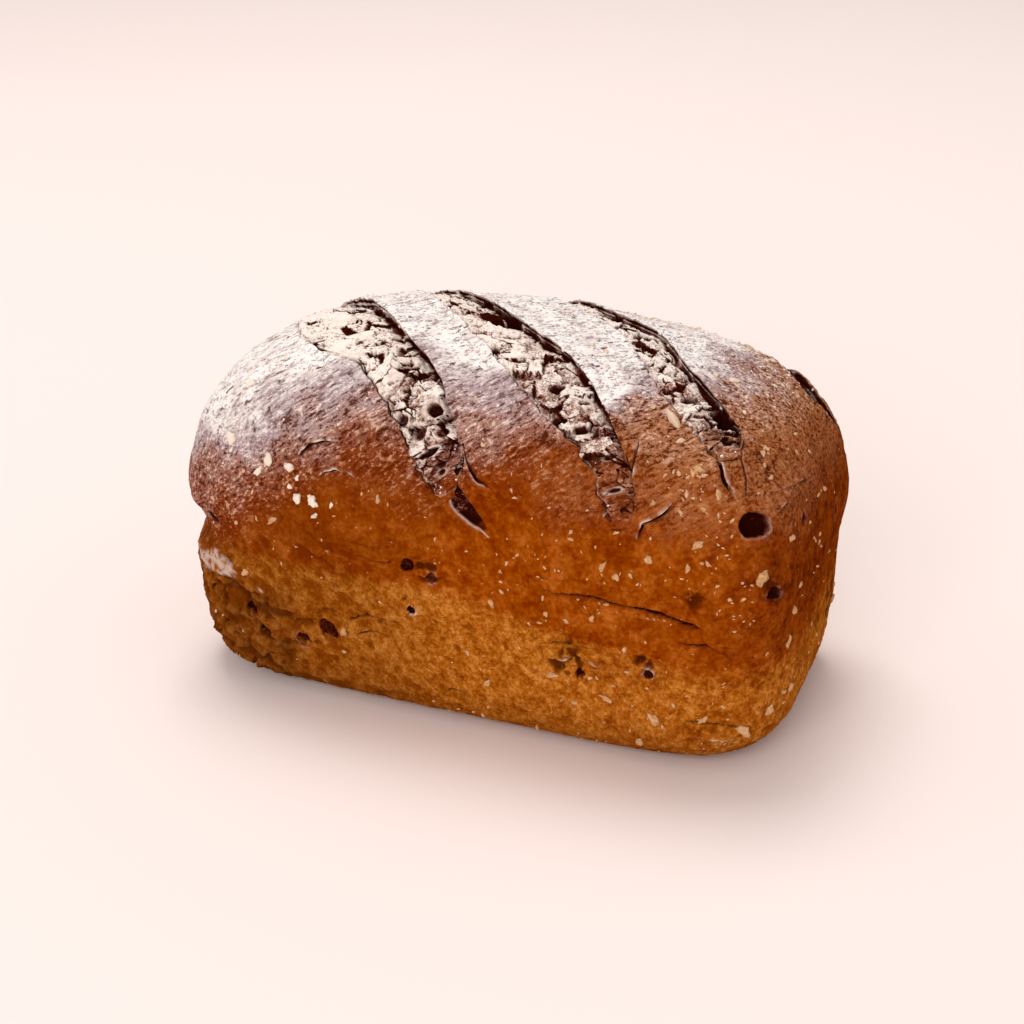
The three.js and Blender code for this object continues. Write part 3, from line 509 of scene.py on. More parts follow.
def crust_height(form, p):
    """The height of the whole crust over the plain form at points of it, where it shows dark, partly as painted
    shade, the flour on its folds, and its ridges as a tone that paints light on them and shade in the hollows. The
    height is that of the swells, the skin, the lips of the slashes and the broad folds, each fold a bell about its
    line that tapers to its ends."""
    skin_high, dark, ridge = skin(p)
    high = swell(p) + skin_high
    dusted = np.zeros(len(p))
    for corners, _, crumbly in SLASHES:
        t = np.linspace(0, 1, SLASH_STATIONS)
        left, right = slash_edges(form, corners, t)
        near = near_line(p, np.vstack([left, right]), 12)
        along, out_left, out_right, beyond = beside(p[near], left, right, t)
        rise = (0.4 + 0.6 * crumbly) * np.sin(np.pi * np.clip(along, 0, 1)) ** 0.5 * smooth(3, 0, beyond - 1)
        high[near] += rise * (lip_rise(out_right) * smooth(-1, 0.5, out_right)
                              + left_rise(out_left) * smooth(-1, 0.3, out_left))
    for path, wide, rise, flour in FOLDS:
        line = form.crust(through(path, np.linspace(0, 1, CREASE_STATIONS)))
        near = near_line(p, line, 12)
        distance = np.linalg.norm(p[near, None] - line[None], axis=2)
        taper = np.sin(np.pi * (0.08 + 0.84 * distance.argmin(1) / (CREASE_STATIONS - 1))) ** 0.6
        crest = bell(distance.min(1), wide / 2) * taper
        high[near] += rise * crest
        patchy = smooth(0.4, 0.7, crest + 0.4 * noise(p[near], 5, 35) + 0.5 * noise(p[near], 2.0, 38))
        dusted[near] = np.maximum(dusted[near], flour * patchy)
    return high, dark, dusted, ridge


# ---- Surfaces -----------------------------------------------------------------------------------------------

def tucked(edge, proud, wide=1.6):
    """How far a finer surface lies over the crust, at millimetres from its rim: a little proud of it, and 0.9 under
    it at the rim, by a smooth step."""
    return proud - 0.9 * smooth(wide, 0.0, edge)


def cube_grid(counts):
    """Directions through a cube's six faces, each face a grid of the counts along its two axes, with the faces'
    shared edges merged by their rounded coordinates, and its squares facing outwards."""
    ends = [np.linspace(-1, 1, n + 1) for n in counts]
    points, squares, start = [], [], 0
    for axis in range(3):
        u, v = (axis + 1) % 3, (axis + 2) % 3
        for side in (-1, 1):
            a, b = np.meshgrid(ends[u], ends[v], indexing="ij")
            face = np.empty(a.shape + (3,))
            face[..., axis], face[..., u], face[..., v] = side, a, b
            index = np.arange(a.size).reshape(a.shape) + start
            corners = [index[:-1, :-1], index[1:, :-1], index[1:, 1:], index[:-1, 1:]]
            squares.append(np.stack(corners[::side], -1).reshape(-1, 4))
            points.append(face.reshape(-1, 3))
            start += a.size
    points, squares = np.vstack(points), np.vstack(squares)
    rounded = np.round(points * 1e6).astype(np.int64)
    _, kept, place = np.unique(rounded, axis=0, return_index=True, return_inverse=True)
    return points[kept], place.reshape(-1)[squares]


def grid_squares(rows, columns, around=False):
    """The squares of a grid of points, which closes on itself across its columns when it goes around."""
    index = np.arange(rows * columns).reshape(rows, columns)
    if around:
        index = np.hstack([index, index[:, :1]])
    return np.stack([index[:-1, :-1], index[1:, :-1], index[1:, 1:], index[:-1, 1:]], -1).reshape(-1, 4)


def close_to(rim, at):
    """Triangles from a rim, taken in the order in which its own squares run along it, to one point."""
    return np.column_stack([np.roll(rim, -1), rim, np.full(len(rim), at)])


def grid_rim(rows, columns):
    """The border of a grid of points, in the order that its squares' outer edges run."""
    index = np.arange(rows * columns).reshape(rows, columns)
    return np.concatenate([index[:-1, 0], index[-1, :-1], index[:0:-1, -1], index[0, :0:-1]])


def eased(columns, knots, count):
    """Columns of a section between its knots, rounded by a running mean of five."""
    c = np.linspace(0, 1, count)
    wide = np.linspace(-2 / count, 1 + 2 / count, count + 4)
    rounded = [np.convolve(np.interp(wide, columns, k), [0.1, 0.2, 0.4, 0.2, 0.1], "valid") for k in knots]
    return c, rounded


def crumb(along, across, upper, seed):
    """The height of torn crumb at millimetres along and across a slash, how much painted shade darkens its gaps, and
    each plate's tone: its own, plus painted light and shade by how it leans. It is broken into plates round scattered
    points, drawn out across the slash in its upper part. Each plate stands at its own height and leans its own way, a
    thin line parts it from the next, and some are parted by cracks."""
    flat = np.column_stack([along, across, 0 * along + 41 * seed])
    flat = flat + 1.3 * np.stack([noise(flat, 6, 21), noise(flat, 6, 22), 0 * along], -1)
    high, gaps, tone = 0, 0, 0
    for share, shape, size, step in ((upper, (1.0, 0.42, 1), 6.8, 1.0), (1 - upper, (1.0, 0.75, 1), 6.4, 1.5),
                                     (1.0, (1.0, 0.7, 1), 3.0, 0.5)):
        near, next_near, own, way = lumps(flat * np.array(shape), size, seed + int(10 * size))
        crack = smooth(0.09, 0.01, next_near - near) * smooth(-0.05, 0.35, noise(flat, 8, seed + 26))
        line = smooth(0.07, 0.01, next_near - near)
        lean = way[:, 0] * np.cos(37 * own) + way[:, 1] * np.sin(37 * own)
        high = high + share * step * (0.9 * (own - 0.5) + 1.3 * lean - 0.2 * line - 0.6 * crack)
        # Painted shade in the cracks and along the thin lines between plates.
        gaps = gaps + share * (crack * min(1.0, step) + 0.35 * line * step)
        # The tone is the plate's own plus painted light and shade by how it leans.
        tone = tone + share * step * (0.5 * (own * 5.3 % 1.0 - 0.5) + 0.5 * lean)
    high = high + 0.25 * noise(flat, 4.2, 24) + 0.15 * noise(flat, 2.0, 25)
    return high, np.clip(gaps, 0, 1), tone


def slash_surface(form, which, step):
    """The torn opening of one slash and the crust just outside it. Its section is carried along the two edges: each
    column lies a share of the way across plus some millimetres, at a share of the depth below the crust, and its
    outer rim tucks under the loaf's crust."""
    corners, deep, crumbly = SLASHES[which]
    probe = slash_edges(form, corners, np.linspace(0, 1, 60))
    length = np.linalg.norm(np.diff((probe[0] + probe[1]) / 2, axis=0), axis=1).sum()
    widest = np.linalg.norm(probe[1] - probe[0], axis=1).max()
    left_rim, right_rim = -SLASH_SECTION[0, 2], SLASH_SECTION[-1, 2]
    spare = left_rim / length
    t = np.linspace(-spare, 1 + spare, int(length * (1 + 2 * spare) / step))
    c, (share, aside, filled, empty) = eased(SLASH_SECTION[:, 0], SLASH_SECTION[:, 1:].T, int((widest + 26) / step))
    left, right = slash_edges(form, corners, t)
    side = unit(right - left)
    wide = np.linalg.norm(right - left, axis=1)[:, None]
    inside = np.clip(t, 0, 1)
    opened = open_share(inside)[:, None]
    lifted = (0.4 + 0.6 * crumbly) * (np.sin(np.pi * inside) ** 0.5)[:, None]

    line = np.column_stack([t * length, 0 * t, 0 * t])
    varied = np.clip(0.95 + 0.6 * noise(line, 15, 71 + which), 0.55, 1.2)
    varied = varied - 0.25 * (which > 0) * smooth(0.5, 0.3, inside)
    varied = varied[:, None] * crumbly + 1 - crumbly
    depth = (filled * crumbly + empty * (1 - crumbly)) * (1 + (varied - 1) * smooth(0.4, 0.6, c))
    tear = 0.35 + 0.65 * crumbly
    ragged_left = tear * (2.0 * noise(line, 8, 31 + which) + 0.9 * noise(line, 3, 35 + which))
    ragged_right = tear * (0.8 * noise(line, 10, 41 + which) + 0.22 * noise(line, 3, 45 + which))
    torn_left = smooth(0.05, 0.13, c) * smooth(0.4, 0.2, c)
    torn_right = smooth(0.55, 0.7, c) * smooth(0.92, 0.84, c)
    offset = aside + opened * (ragged_left[:, None] * torn_left + ragged_right[:, None] * torn_right)

    across_mm = share * wide + offset

    def everywhere(values):
        """Values of the rows or of the columns, at each point of the grid."""
        return np.broadcast_to(values, offset.shape).ravel()

    foot = left[:, None] + side[:, None] * across_mm[..., None]
    base = form.crust(foot.reshape(-1, 3))
    out = form.outward(base)
    skin_high, dark, ridge = skin(base)

    # Crumb fills the slash down to about three quarters of its length. Below that it is drawn-out skin.
    lower = smooth(0.74, 0.84, inside)[:, None]
    in_crumb = (smooth(0.125, 0.165, c) * smooth(0.71, 0.66, c)) * opened * crumbly
    run, upper = everywhere((t * length)[:, None]), everywhere(smooth(0.5, 0.38, inside)[:, None])
    crumb_high, gaps, tone = crumb(run, across_mm.ravel(), upper, which + 1)
    crumb_high = crumb_high * (in_crumb * (1 - 0.35 * lower)).ravel()
    gaps = gaps * in_crumb.ravel()

    outside = across_mm - wide * (c > 0.5)
    left_side = left_rise(np.maximum(-outside, 0)) * smooth(0.13, 0.10, c)
    right_side = lip_rise(np.maximum(outside, 0.3)) * smooth(0.775, 0.83, c)
    crust_side = everywhere((c < 0.12) | (c > 0.8))
    high = lifted * (left_side + right_side) - deep * (1 - 0.25 * lower * crumbly) * opened * depth
    high = high.ravel() + swell(base) + skin_high * np.where(crust_side, 1, 0.3) + crumb_high

    # Bubbles: each drops within its radius, wobbled by noise, and has a ring about 1.28 times as wide.
    pit, ring_mask = np.zeros(len(base)), np.zeros(len(base))
    rng = np.random.default_rng(60 + which)
    small = [(which, rng.uniform(0.1, 0.9), rng.uniform(0.05, 0.85), rng.uniform(0.4, 0.9), rng.uniform(0.6, 1.3),
              rng.uniform(0.0, 0.2), rng.uniform(1.0, 2.5)) for _ in range(int(14 * crumbly))]
    warp = 0.9 * noise(base, 4, 51) + 0.4 * noise(base, 1.7, 52)
    uneven = np.clip(0.85 + 0.9 * noise(base, 4.5, 55), 0.1, 1.4)
    windowed = everywhere(smooth(0.09, 0.13, c) * smooth(0.80, 0.765, c))
    for slash, along, across, radius, down, ring, long in CRUMB_BUBBLES + small:
        if slash != which:
            continue
        edges = slash_edges(form, corners, np.array([along]))
        centre = form.crust(edges[0] + (edges[1] - edges[0]) * across)[0]
        way = base - centre
        sideways = way @ unit(edges[1] - edges[0])[0]
        distance = np.sqrt((way ** 2).sum(1) + sideways ** 2 * (1 / long ** 2 - 1)) + warp * min(1.0, radius / 2.4)
        hole = smooth(radius, radius * 0.7, distance) * windowed
        rim = bell(distance - radius * 1.28, radius * 0.32) * windowed
        high = high + ring * rim * uneven - down * hole
        # The pit mask is painted shade in each bubble, the darker the deeper it is.
        pit = np.maximum(pit, smooth(radius, radius * 0.75, distance) * windowed * min(1.0, 0.1 + down / 3.7))
        ring_mask = np.maximum(ring_mask, rim * np.maximum(uneven, min(0.9, 0.5 * ring)) * min(1.0, 1.3 * ring))

    rim_mm = np.where(c < 0.5, left_rim + aside, np.where(c > 0.8, right_rim - aside, np.inf))
    end_mm = np.minimum(t + spare, 1 + spare - t) * length
    edge = np.minimum(rim_mm[None], end_mm[:, None]).ravel()
    high = high + tucked(edge, 0.04)
    others = [slash for k, slash in enumerate(SLASHES) if k != which]
    high = high - sunk(form, base, others, openings=True) * crust_side
    points = base + out * high[:, None]

    # The masks: painted shade darkens the wall's folds, the groove at the left edge, the gaps and the bubbles' pits,
    # and the thin edges are pale, with a painted highlight along the ledge in the wall.
    wall = smooth(0.63, 0.69, c) * smooth(0.815, 0.79, c)
    creased = bell(c - 0.675, 0.022) + 0.8 * bell(c - 0.722, 0.012) + bell(c - 0.785, 0.016)
    walls = ((0.26 * wall + 0.6 * creased) * opened * (1.6 - 0.6 * crumbly)).ravel()
    groove = (bell(c - 0.122, 0.014) * opened * crumbly * (1 - 0.6 * lower)).ravel()
    groove = groove * smooth(-0.3, 0.2, noise(base, 7, 56))
    torn = (smooth(0.115, 0.135, c) * smooth(0.82, 0.80, c) * smooth(0.02, 0.3, opened)).ravel()
    painted_shade = walls * (1 + 0.9 * noise(base, 4, 53)) + 0.85 * smooth(0.15, 0.7, gaps) + 0.6 * groove + pit
    # A pale thin torn edge at the lip, and a painted highlight along the ledge's edge in the wall.
    pale_and_lit_edges = 0.6 * (bell(c - 0.812, 0.01) * lifted).ravel() + 0.6 * (bell(c - 0.745, 0.012) * opened).ravel()
    pale_and_lit_edges = pale_and_lit_edges * smooth(-0.1, 0.4, noise(base, 4, 54))
    left_pale = bell(c - 0.165, 0.02) * opened * crumbly + bell(c - 0.11, 0.015) * (1 - crumbly)
    pale_and_lit_edges = pale_and_lit_edges + 0.5 * left_pale.ravel()
    paler = everywhere(0.22 * (0.6 - inside)[:, None])
    # The plates' tone: each slash's own, paler towards the top, with painted light and shade by how each plate leans.
    plates = np.clip(CRUMB_TONES[which] + paler + 0.40 * tone - 0.35 * (1 - crumbly), 0, 1)
    masks = {
        "flour": flour_share(base), "gold": gold_share(base), "torn": torn * (1 - 0.75 * everywhere(lower)),
        "painted_shade": painted_shade * smooth(0.0, 0.1, torn + pit + groove),
        "pale": np.clip(ring_mask + pale_and_lit_edges, 0, 1) * (1 - np.clip(pit, 0, 1)), "dark": dark * (1 - torn),
        "ridge": np.where(torn > 0.5, plates, ridge),
    }
    return points, offset.shape, masks


def crease_surface(form, path, wide, deep, lift, pale, step):
    """One crease and the crust beside it: a section that drops, runs back under the fold beside it and comes out
    over the fold's edge, carried along the crease's line and tapering to nothing at both ends."""
    probe = form.crust(through(path, np.linspace(0, 1, CREASE_STATIONS)))
    length = np.linalg.norm(np.diff(probe, axis=0), axis=1).sum()
    rim = CREASE_SECTION[-1, 1]
    spare = rim / length
    t = np.linspace(-spare, 1 + spare, int(length * (1 + 2 * spare) / step))
    c, (aside, depth, rise) = eased(CREASE_SECTION[:, 0], CREASE_SECTION[:, 1:].T, 44)
    line = form.crust(through(path, t))
    side = unit(np.cross(form.outward(line), unit(np.gradient(line, axis=0))))
    taper = np.sin(np.pi * np.clip(t, 0, 1))[:, None] ** 0.7
    wander = np.column_stack([t * length, 0 * t + path[0][0], 0 * t])
    sway = (0.9 * noise(wander, 9, 61) + 0.6 * noise(wander, 3.2, 62))[:, None] * smooth(rim, 2.5, np.abs(aside))
    scale = 1 + (0.4 * wide - 1 + 0.35 * noise(wander, 6, 63)[:, None]) * smooth(rim, 1.5, np.abs(aside)) * taper
    foot = line[:, None] + side[:, None] * (aside * scale + sway)[..., None]
    base = form.crust(foot.reshape(-1, 3))
    skin_high, dark, ridge = skin(base)
    end_mm = np.minimum(t + spare, 1 + spare - t) * length
    edge = np.minimum(rim - np.abs(aside)[None], end_mm[:, None]).ravel()
    uneven = 1 + 0.5 * noise(wander, 5, 64)[:, None]
    high = (taper * (lift * rise * uneven - deep * depth)).ravel()
    high = high + swell(base) + skin_high + tucked(edge, 0.06)
    high = high - sunk(form, base, openings=True, creases=False)
    points = base + form.outward(base) * high[:, None]
    pale_edge = min(1.0, 1.3 * pale) * (taper ** 0.5 * bell(c - 0.785, 0.038)).ravel()
    # Painted shade in the crease's groove and in a band beside it under the fold; the fold's edge is pale.
    masks = {
        "flour": flour_share(base), "gold": gold_share(base), "torn": 0 * high, "dark": dark, "ridge": ridge,
        "pale": pale_edge * smooth(-0.5, 0.2, noise(base, 3, 65)),
        "painted_shade": (taper * (0.75 * min(1.0, deep / 2.4) * smooth(0.1, 0.8, depth)
                           + 0.55 * min(1.0, deep / 3.6) ** 3 * bell(c - 0.37, 0.08))).ravel(),
    }
    return points, sway.shape, masks


def bubble_surface(form, at, radius, deep, pale, seed):
    """One burst bubble and the crust round it, on rings from its middle out: the floor drops by the square root of
    what is left of a circle, under a low torn rim, and wrinkles run round its wall."""
    centre = form.crust(np.array([at], float))[0]
    up = form.outward(centre[None])[0]
    one = unit(np.cross(up, [0.3, 0.1, 1.0]))
    two = np.cross(up, one)
    turns = np.linspace(0, 2 * np.pi, 56, endpoint=False)
    rim_wide = 3.6
    rings = np.concatenate([np.linspace(0.04, 0.9, 14) * radius, radius + np.linspace(0, rim_wide, 11)])
    turn, ring = np.meshgrid(turns, rings)
    circle = np.stack([np.cos(turn), np.sin(turn), 0 * turn + 3 * seed], -1)
    wobble = 0.30 * noise(circle, 1.2, seed) + 0.14 * noise(circle, 0.5, seed + 1) + 0.12 * np.cos(2 * turn + seed)
    spread = ring * (1 + wobble * smooth(radius + 2.4, radius, ring))
    foot = centre + (np.cos(turn) * spread)[..., None] * one + (np.sin(turn) * spread)[..., None] * two
    base = form.crust(foot.reshape(-1, 3))
    share = np.clip(ring / radius, 0, 1)
    floor = -deep * np.sqrt(np.maximum(1 - share ** 3, 0))
    folds = 0.14 * np.sin(7 * np.pi * share + 2 * np.cos(turn + seed))
    folds = folds * smooth(0.2, 0.5, share) * smooth(1.0, 0.8, share)
    rim = (0.2 + 0.5 * pale) * bell(ring - radius - 0.3, 0.8) * (1 + 0.6 * np.cos(turn - 2.2 + seed))
    skin_high, dark, ridge = skin(base)
    edge = (radius + rim_wide - ring).ravel()
    inside = smooth(1.05, 0.85, ring / radius).ravel()
    high = (floor + folds + rim).ravel() + swell(base) + skin_high * (1 - inside)
    high = high + tucked(edge, 0.08, 1.4)
    points = base + form.outward(base) * high[:, None]
    broken = smooth(-0.3, 0.5, noise(circle, 0.7, seed + 2) + 0.4 * np.cos(turn - 2.2 + seed))
    # Painted shade on the bubble's floor, the darker the deeper the bubble.
    pit_shade = min(1.0, 0.25 + deep / 4.5) * (0.85 + 1.2 * folds).ravel()
    masks = {
        "flour": flour_share(base) * (1 - inside), "gold": gold_share(base) * (1 - inside), "torn": 0 * high,
        "pale": (pale * bell(ring - radius - 0.1, 0.45) * broken).ravel(), "dark": dark, "ridge": ridge,
        "painted_shade": inside * pit_shade * (1 + 0.4 * noise(base, 2.5, 66)),
    }
    return points, ring.shape, masks


# ---- Pieces -------------------------------------------------------------------------------------------------

def new_piece(name, points, faces, material, masks):
    """One mesh object at the origin, from points in millimetres and lists of triangles or squares, with its masks
    as attributes of its points. It rides on the loaf and stands in its place."""
    mesh = bpy.data.meshes.new(name)
    mesh.vertices.add(len(points))
    mesh.vertices.foreach_set("co", (points * MM).astype(np.float32).ravel())
    sizes = np.concatenate([np.full(len(f), f.shape[1]) for f in faces])
    corners = np.concatenate([f.ravel() for f in faces])
    mesh.loops.add(len(corners))
    mesh.loops.foreach_set("vertex_index", corners.astype(np.int32))
    mesh.polygons.add(len(sizes))
    mesh.polygons.foreach_set("loop_start", (np.cumsum(sizes) - sizes).astype(np.int32))
    mesh.polygons.foreach_set("use_smooth", np.ones(len(sizes), bool))
    mesh.update(calc_edges=True)
    for key, values in masks.items():
        attribute = mesh.attributes.new(key, "FLOAT", "POINT")
        attribute.data.foreach_set("value", np.clip(values, 0, 1).astype(np.float32))
    if mesh.validate():
        raise RuntimeError(name + " had faces that Blender had to mend")
    mesh.materials.append(material)
    piece = bpy.data.objects.new(name, mesh)
    bpy.context.scene.collection.objects.link(piece)
    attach(piece, "root")
    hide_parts("loaf")
    return piece


def joined(parts):
    """Several closed surfaces as one: points, faces and masks one after the other."""
    points, faces, masks, start = [], [], {}, 0
    for part_points, part_faces, part_masks in parts:
        points.append(part_points)
        faces += [f + start for f in part_faces]
        for key, values in part_masks.items():
            masks.setdefault(key, []).append(values)
        start += len(part_points)
    by_corners = [[f for f in faces if f.shape[1] == n] for n in (3, 4)]
    faces = [np.vstack(group) for group in by_corners if group]
    return np.vstack(points), faces, {key: np.concatenate(values) for key, values in masks.items()}


def closed(points, shape, masks, around=False):
    """A surface made solid by triangles from its rim to a point under its middle, and for rings also a cap over
    the innermost one."""
    rows, columns = shape
    squares = grid_squares(rows, columns, around)
    middle = points.mean(0)
    below = middle * np.array([0.75, 0.55, 0.8]) + np.array([0, 0, 8.0])
    index = np.arange(rows * columns).reshape(rows, columns)
    if around:
        extra = np.vstack([below, points[index[0]].mean(0)])
        faces = [squares, close_to(index[-1], len(points)),
                 np.column_stack([index[0], np.roll(index[0], -1), np.full(columns, len(points) + 1)])]
    else:
        extra = below[None]
        faces = [squares, close_to(grid_rim(rows, columns), len(points))]
    masks = {key: np.concatenate([values, np.zeros(len(extra))]) for key, values in masks.items()}
    return np.vstack([points, extra]), faces, masks


# ---- Materials ----------------------------------------------------------------------------------------------

# Every kind of node by a short name: Blender's type, its settings, the inputs in the order they are given, and the
# output that is used. Any other kind is an operation of the Math node.
KINDS = {
    "place": ("ShaderNodeTexCoord", {}, (), "Object"),
    "drawn out": ("ShaderNodeMapping", {"vector_type": "TEXTURE"}, ("Vector", "Rotation", "Scale"), 0),
    "along": ("ShaderNodeSeparateXYZ", {}, (0,), "X"),
    "up": ("ShaderNodeSeparateXYZ", {}, (0,), "Z"),
    "mask": ("ShaderNodeAttribute", {}, (), "Fac"),
    "noise": ("ShaderNodeTexNoise", {}, ("Vector", "Scale", "Detail", "Roughness"), "Fac"),
    "cells": ("ShaderNodeTexVoronoi", {}, ("Vector", "Scale", "Randomness"), "Distance"),
    "step": ("ShaderNodeMapRange", {"interpolation_type": "SMOOTHSTEP"}, ("Value", "From Min", "From Max"), 0),
    "range": ("ShaderNodeMapRange", {}, ("Value", "To Min", "To Max"), 0),
    "ramp": ("ShaderNodeValToRGB", {}, ("Fac",), 0),
    "mix": ("ShaderNodeMix", {"data_type": "RGBA"}, (0, 6, 7), 2),
    "bump": ("ShaderNodeBump", {}, ("Height", "Strength", "Distance"), 0),
    "shader": ("ShaderNodeBsdfPrincipled", {}, ("Base Color", "Roughness", "Specular IOR Level", "Normal"), 0),
    "output": ("ShaderNodeOutputMaterial", {}, ("Surface",), None),
}


def linear(hex_colour):
    """An sRGB hex colour as linear red, green, blue and 1."""
    s = np.array([int(hex_colour[k:k + 2], 16) for k in (1, 3, 5)]) / 255
    return [float(v) for v in np.where(s <= 0.04045, s / 12.92, ((s + 0.055) / 1.055) ** 2.4)] + [1.0]


def add(tree, kind, *values, stops=(), **settings):
    """Add a node and return the output of it that is used. Its inputs are given in its kind's order: an output of
    another node is linked, and a number or colour is set. Stops are the places and colours along a ramp."""
    node_type, own, inputs, output = KINDS.get(kind, ("ShaderNodeMath", {"operation": kind}, (0, 1, 2), 0))
    node = tree.nodes.new(node_type)
    for key, value in {**own, **settings}.items():
        setattr(node, key, value)
    for key, value in zip(inputs, values):
        if isinstance(value, bpy.types.NodeSocket):
            tree.links.new(value, node.inputs[key])
        else:
            node.inputs[key].default_value = value
    for _ in stops[2:]:
        node.color_ramp.elements.new(0.5)
    for element, (position, colour) in zip(node.color_ramp.elements if stops else (), stops):
        element.position, element.color = position, colour
    return None if output is None else node.outputs[output]


def new_material(name):
    """An empty material of that name, and a function that adds nodes to it."""
    material = bpy.data.materials.new(name)
    material.use_nodes = True
    material.node_tree.nodes.clear()
    return material, functools.partial(add, material.node_tree)


def crust_material(hue):
    """Baked bread crust and torn crumb. The crust is a dull starch skin, browned by the oven: golden where the tin
    kept it cool, orange-brown at the belt, red-brown on the dome. Pale flour lies on top in a broken layer that looks
    violet-grey where it is thin, and the torn crumb is pale. Painted shade darkens the near end, the gaps, bubbles
    and creases and the walls under the lips, and the ridge mask paints light on raised relief and shade in hollows."""
    material, node = new_material("Baked brown bread crust")
    place = node("place")
    along, up = node("along", place), node("up", place)
    # Along the dome's wrinkles, which climb to the far side, features are drawn out three times.
    drawn = node("drawn out", place, (0, -0.5, 0.45), (3.0, 1.0, 1.0))

    def varied(start, *terms):
        """The start plus, for each noise, its departure from its mean times its amount."""
        total = node("ADD", start, -0.5 * sum(amount for _, amount in terms))
        for value, amount in terms:
            total = node("MULTIPLY_ADD", value, amount, total)
        return total

    flour, gold, torn, painted_shade, pale, dark, ridge = (
        node("mask", attribute_name=name) for name in ("flour", "gold", "torn", "painted_shade", "pale", "dark", "ridge"))
    # Noises: where, the size of their grains in millimetres, how many finer ones are added, and how strong those are.
    patches, blotches, wrinkle, meal, grit, streaks, strokes, cracks = (
        node("noise", where, 1 / (size * MM), finer, strength) for where, size, finer, strength in (
            (place, 30, 2, 0.55), (place, 8, 2, 0.55), (place, 3.2, 3, 0.55), (place, 1.3, 3, 0.55),
            (place, 0.5, 2, 0.55), (drawn, 3.2, 3, 0.55), (drawn, 0.9, 2, 0.55), (drawn, 1.8, 3, 0.7)))

    # The belt: orange-brown, mottled every few millimetres, with painted light on its ridges and painted shade in its
    # hollows from the ridge mask.
    mottle = varied(0.5, (wrinkle, 0.9), (meal, 0.9), (blotches, 0.8))
    belt = node("ramp", varied(mottle, (ridge, 0.6)),
                stops=((0.2, hue.belt_dark), (0.5, hue.belt), (0.9, hue.belt_light)))
    # The golden side: ochre, lighter on its ridges and browner in its hollows by painted light and shade from the
    # ridge mask, speckled by the meal in the dough.
    ochre = varied(0.5, (wrinkle, 0.8), (meal, 1.2), (ridge, 0.75), (grit, 0.9))
    golden = node("ramp", ochre, stops=((0.15, hue.gold_dark), (0.5, hue.gold), (0.85, hue.gold_light)))
    crust = node("mix", node("step", varied(gold, (blotches, 0.5), (wrinkle, 0.5)), 0.2, 0.7), belt, golden)
    # The far end and the foot are browner, and painted shade darkens the near end.
    wavy = varied(along, (patches, 0.04))
    crust = node("mix", node("MULTIPLY", node("step", wavy, 0.01, -0.045), 0.40), crust, hue.far_end)
    shaded_near_end = node("MULTIPLY", node("step", wavy, 0.074, 0.100), node("step", up, 0.02, 0.06))
    ends = node("ramp", mottle, stops=((0.2, hue.end_dark), (0.5, hue.shaded_near_end), (0.9, hue.belt)))
    crust = node("mix", node("MULTIPLY", shaded_near_end, 0.85), crust, ends)
    crust = node("mix", node("MULTIPLY", node("step", up, 0.020, 0.0), 0.42), crust, hue.far_end)
    # The dark mask: the corner's own darker tone, and painted shade in the pores, the gaps between the corner's
    # plates and the hollows of the scars.
    crust = node("mix", node("MULTIPLY", dark, 0.85), crust, hue.dark_pores)

    # Pale specks of meal, 0.3 to 0.7 mm wide, in some patches.
    specks = node("cells", place, 1 / (3.1 * MM), 1.0)
    dots = node("MULTIPLY", node("step", specks, 0.15, 0.07), node("step", blotches, 0.44, 0.58))
    crust = node("mix", node("MULTIPLY", dots, node("MULTIPLY_ADD", gold, -0.7, 0.75)), crust, hue.specks)

    # The dome, by how thickly flour lies: red-brown skin, violet-grey where flour is thin, then white. It changes
    # slowly, and fine strokes along the wrinkles paint shade and light on it: the dark strokes are painted shade, and
    # the bright ones are partly grains of flour and partly painted highlight.
    uneven = varied(0.0, (blotches, 0.30), (streaks, 0.45), (patches, 0.3))
    cover = node("MULTIPLY_ADD", uneven, node("step", flour, 0.0, 0.3), flour)
    dome = node("ramp", cover, stops=((0.03, hue.belt_dark), (0.20, hue.dome), (0.48, hue.dome_light),
                                      (0.75, hue.thin_flour), (0.89, hue.pale_flour), (1.0, hue.flour)))
    tan = node("MULTIPLY", node("step", along, 0.015, 0.07), node("step", cover, 0.9, 0.35))
    dome = node("mix", node("MULTIPLY", tan, 0.6), dome, hue.tan_dome)
    detail = varied(0.0, (strokes, 1.9), (streaks, 0.6), (meal, 0.8), (grit, 1.0), (ridge, 0.5))
    thick = node("step", cover, 0.5, 0.95)
    shade = node("mix", thick, hue.dome_dark, hue.shade)
    shaded = node("MULTIPLY", node("step", detail, -0.05, -0.30), node("MULTIPLY_ADD", thick, -0.12, 0.90))
    dome = node("mix", shaded, dome, shade)
    bright = node("ramp", cover, stops=((0.10, hue.stroke_tan), (0.42, hue.stroke_light), (0.92, hue.flour)))
    brightened = node("MULTIPLY", node("step", detail, 0.12, 0.38), node("step", flour, -0.2, 0.3))
    dome = node("mix", brightened, dome, bright)
    crust = node("mix", node("step", node("MULTIPLY_ADD", detail, 0.08, flour), -0.01, 0.24), crust, dome)
    # Short dark cracks in the floured skin, along its wrinkles.
    thread = node("MULTIPLY", node("step", cracks, 0.385, 0.33), node("step", flour, 0.3, 0.6))
    crust = node("mix", node("MULTIPLY", thread, 0.8), crust, hue.dome_dark)

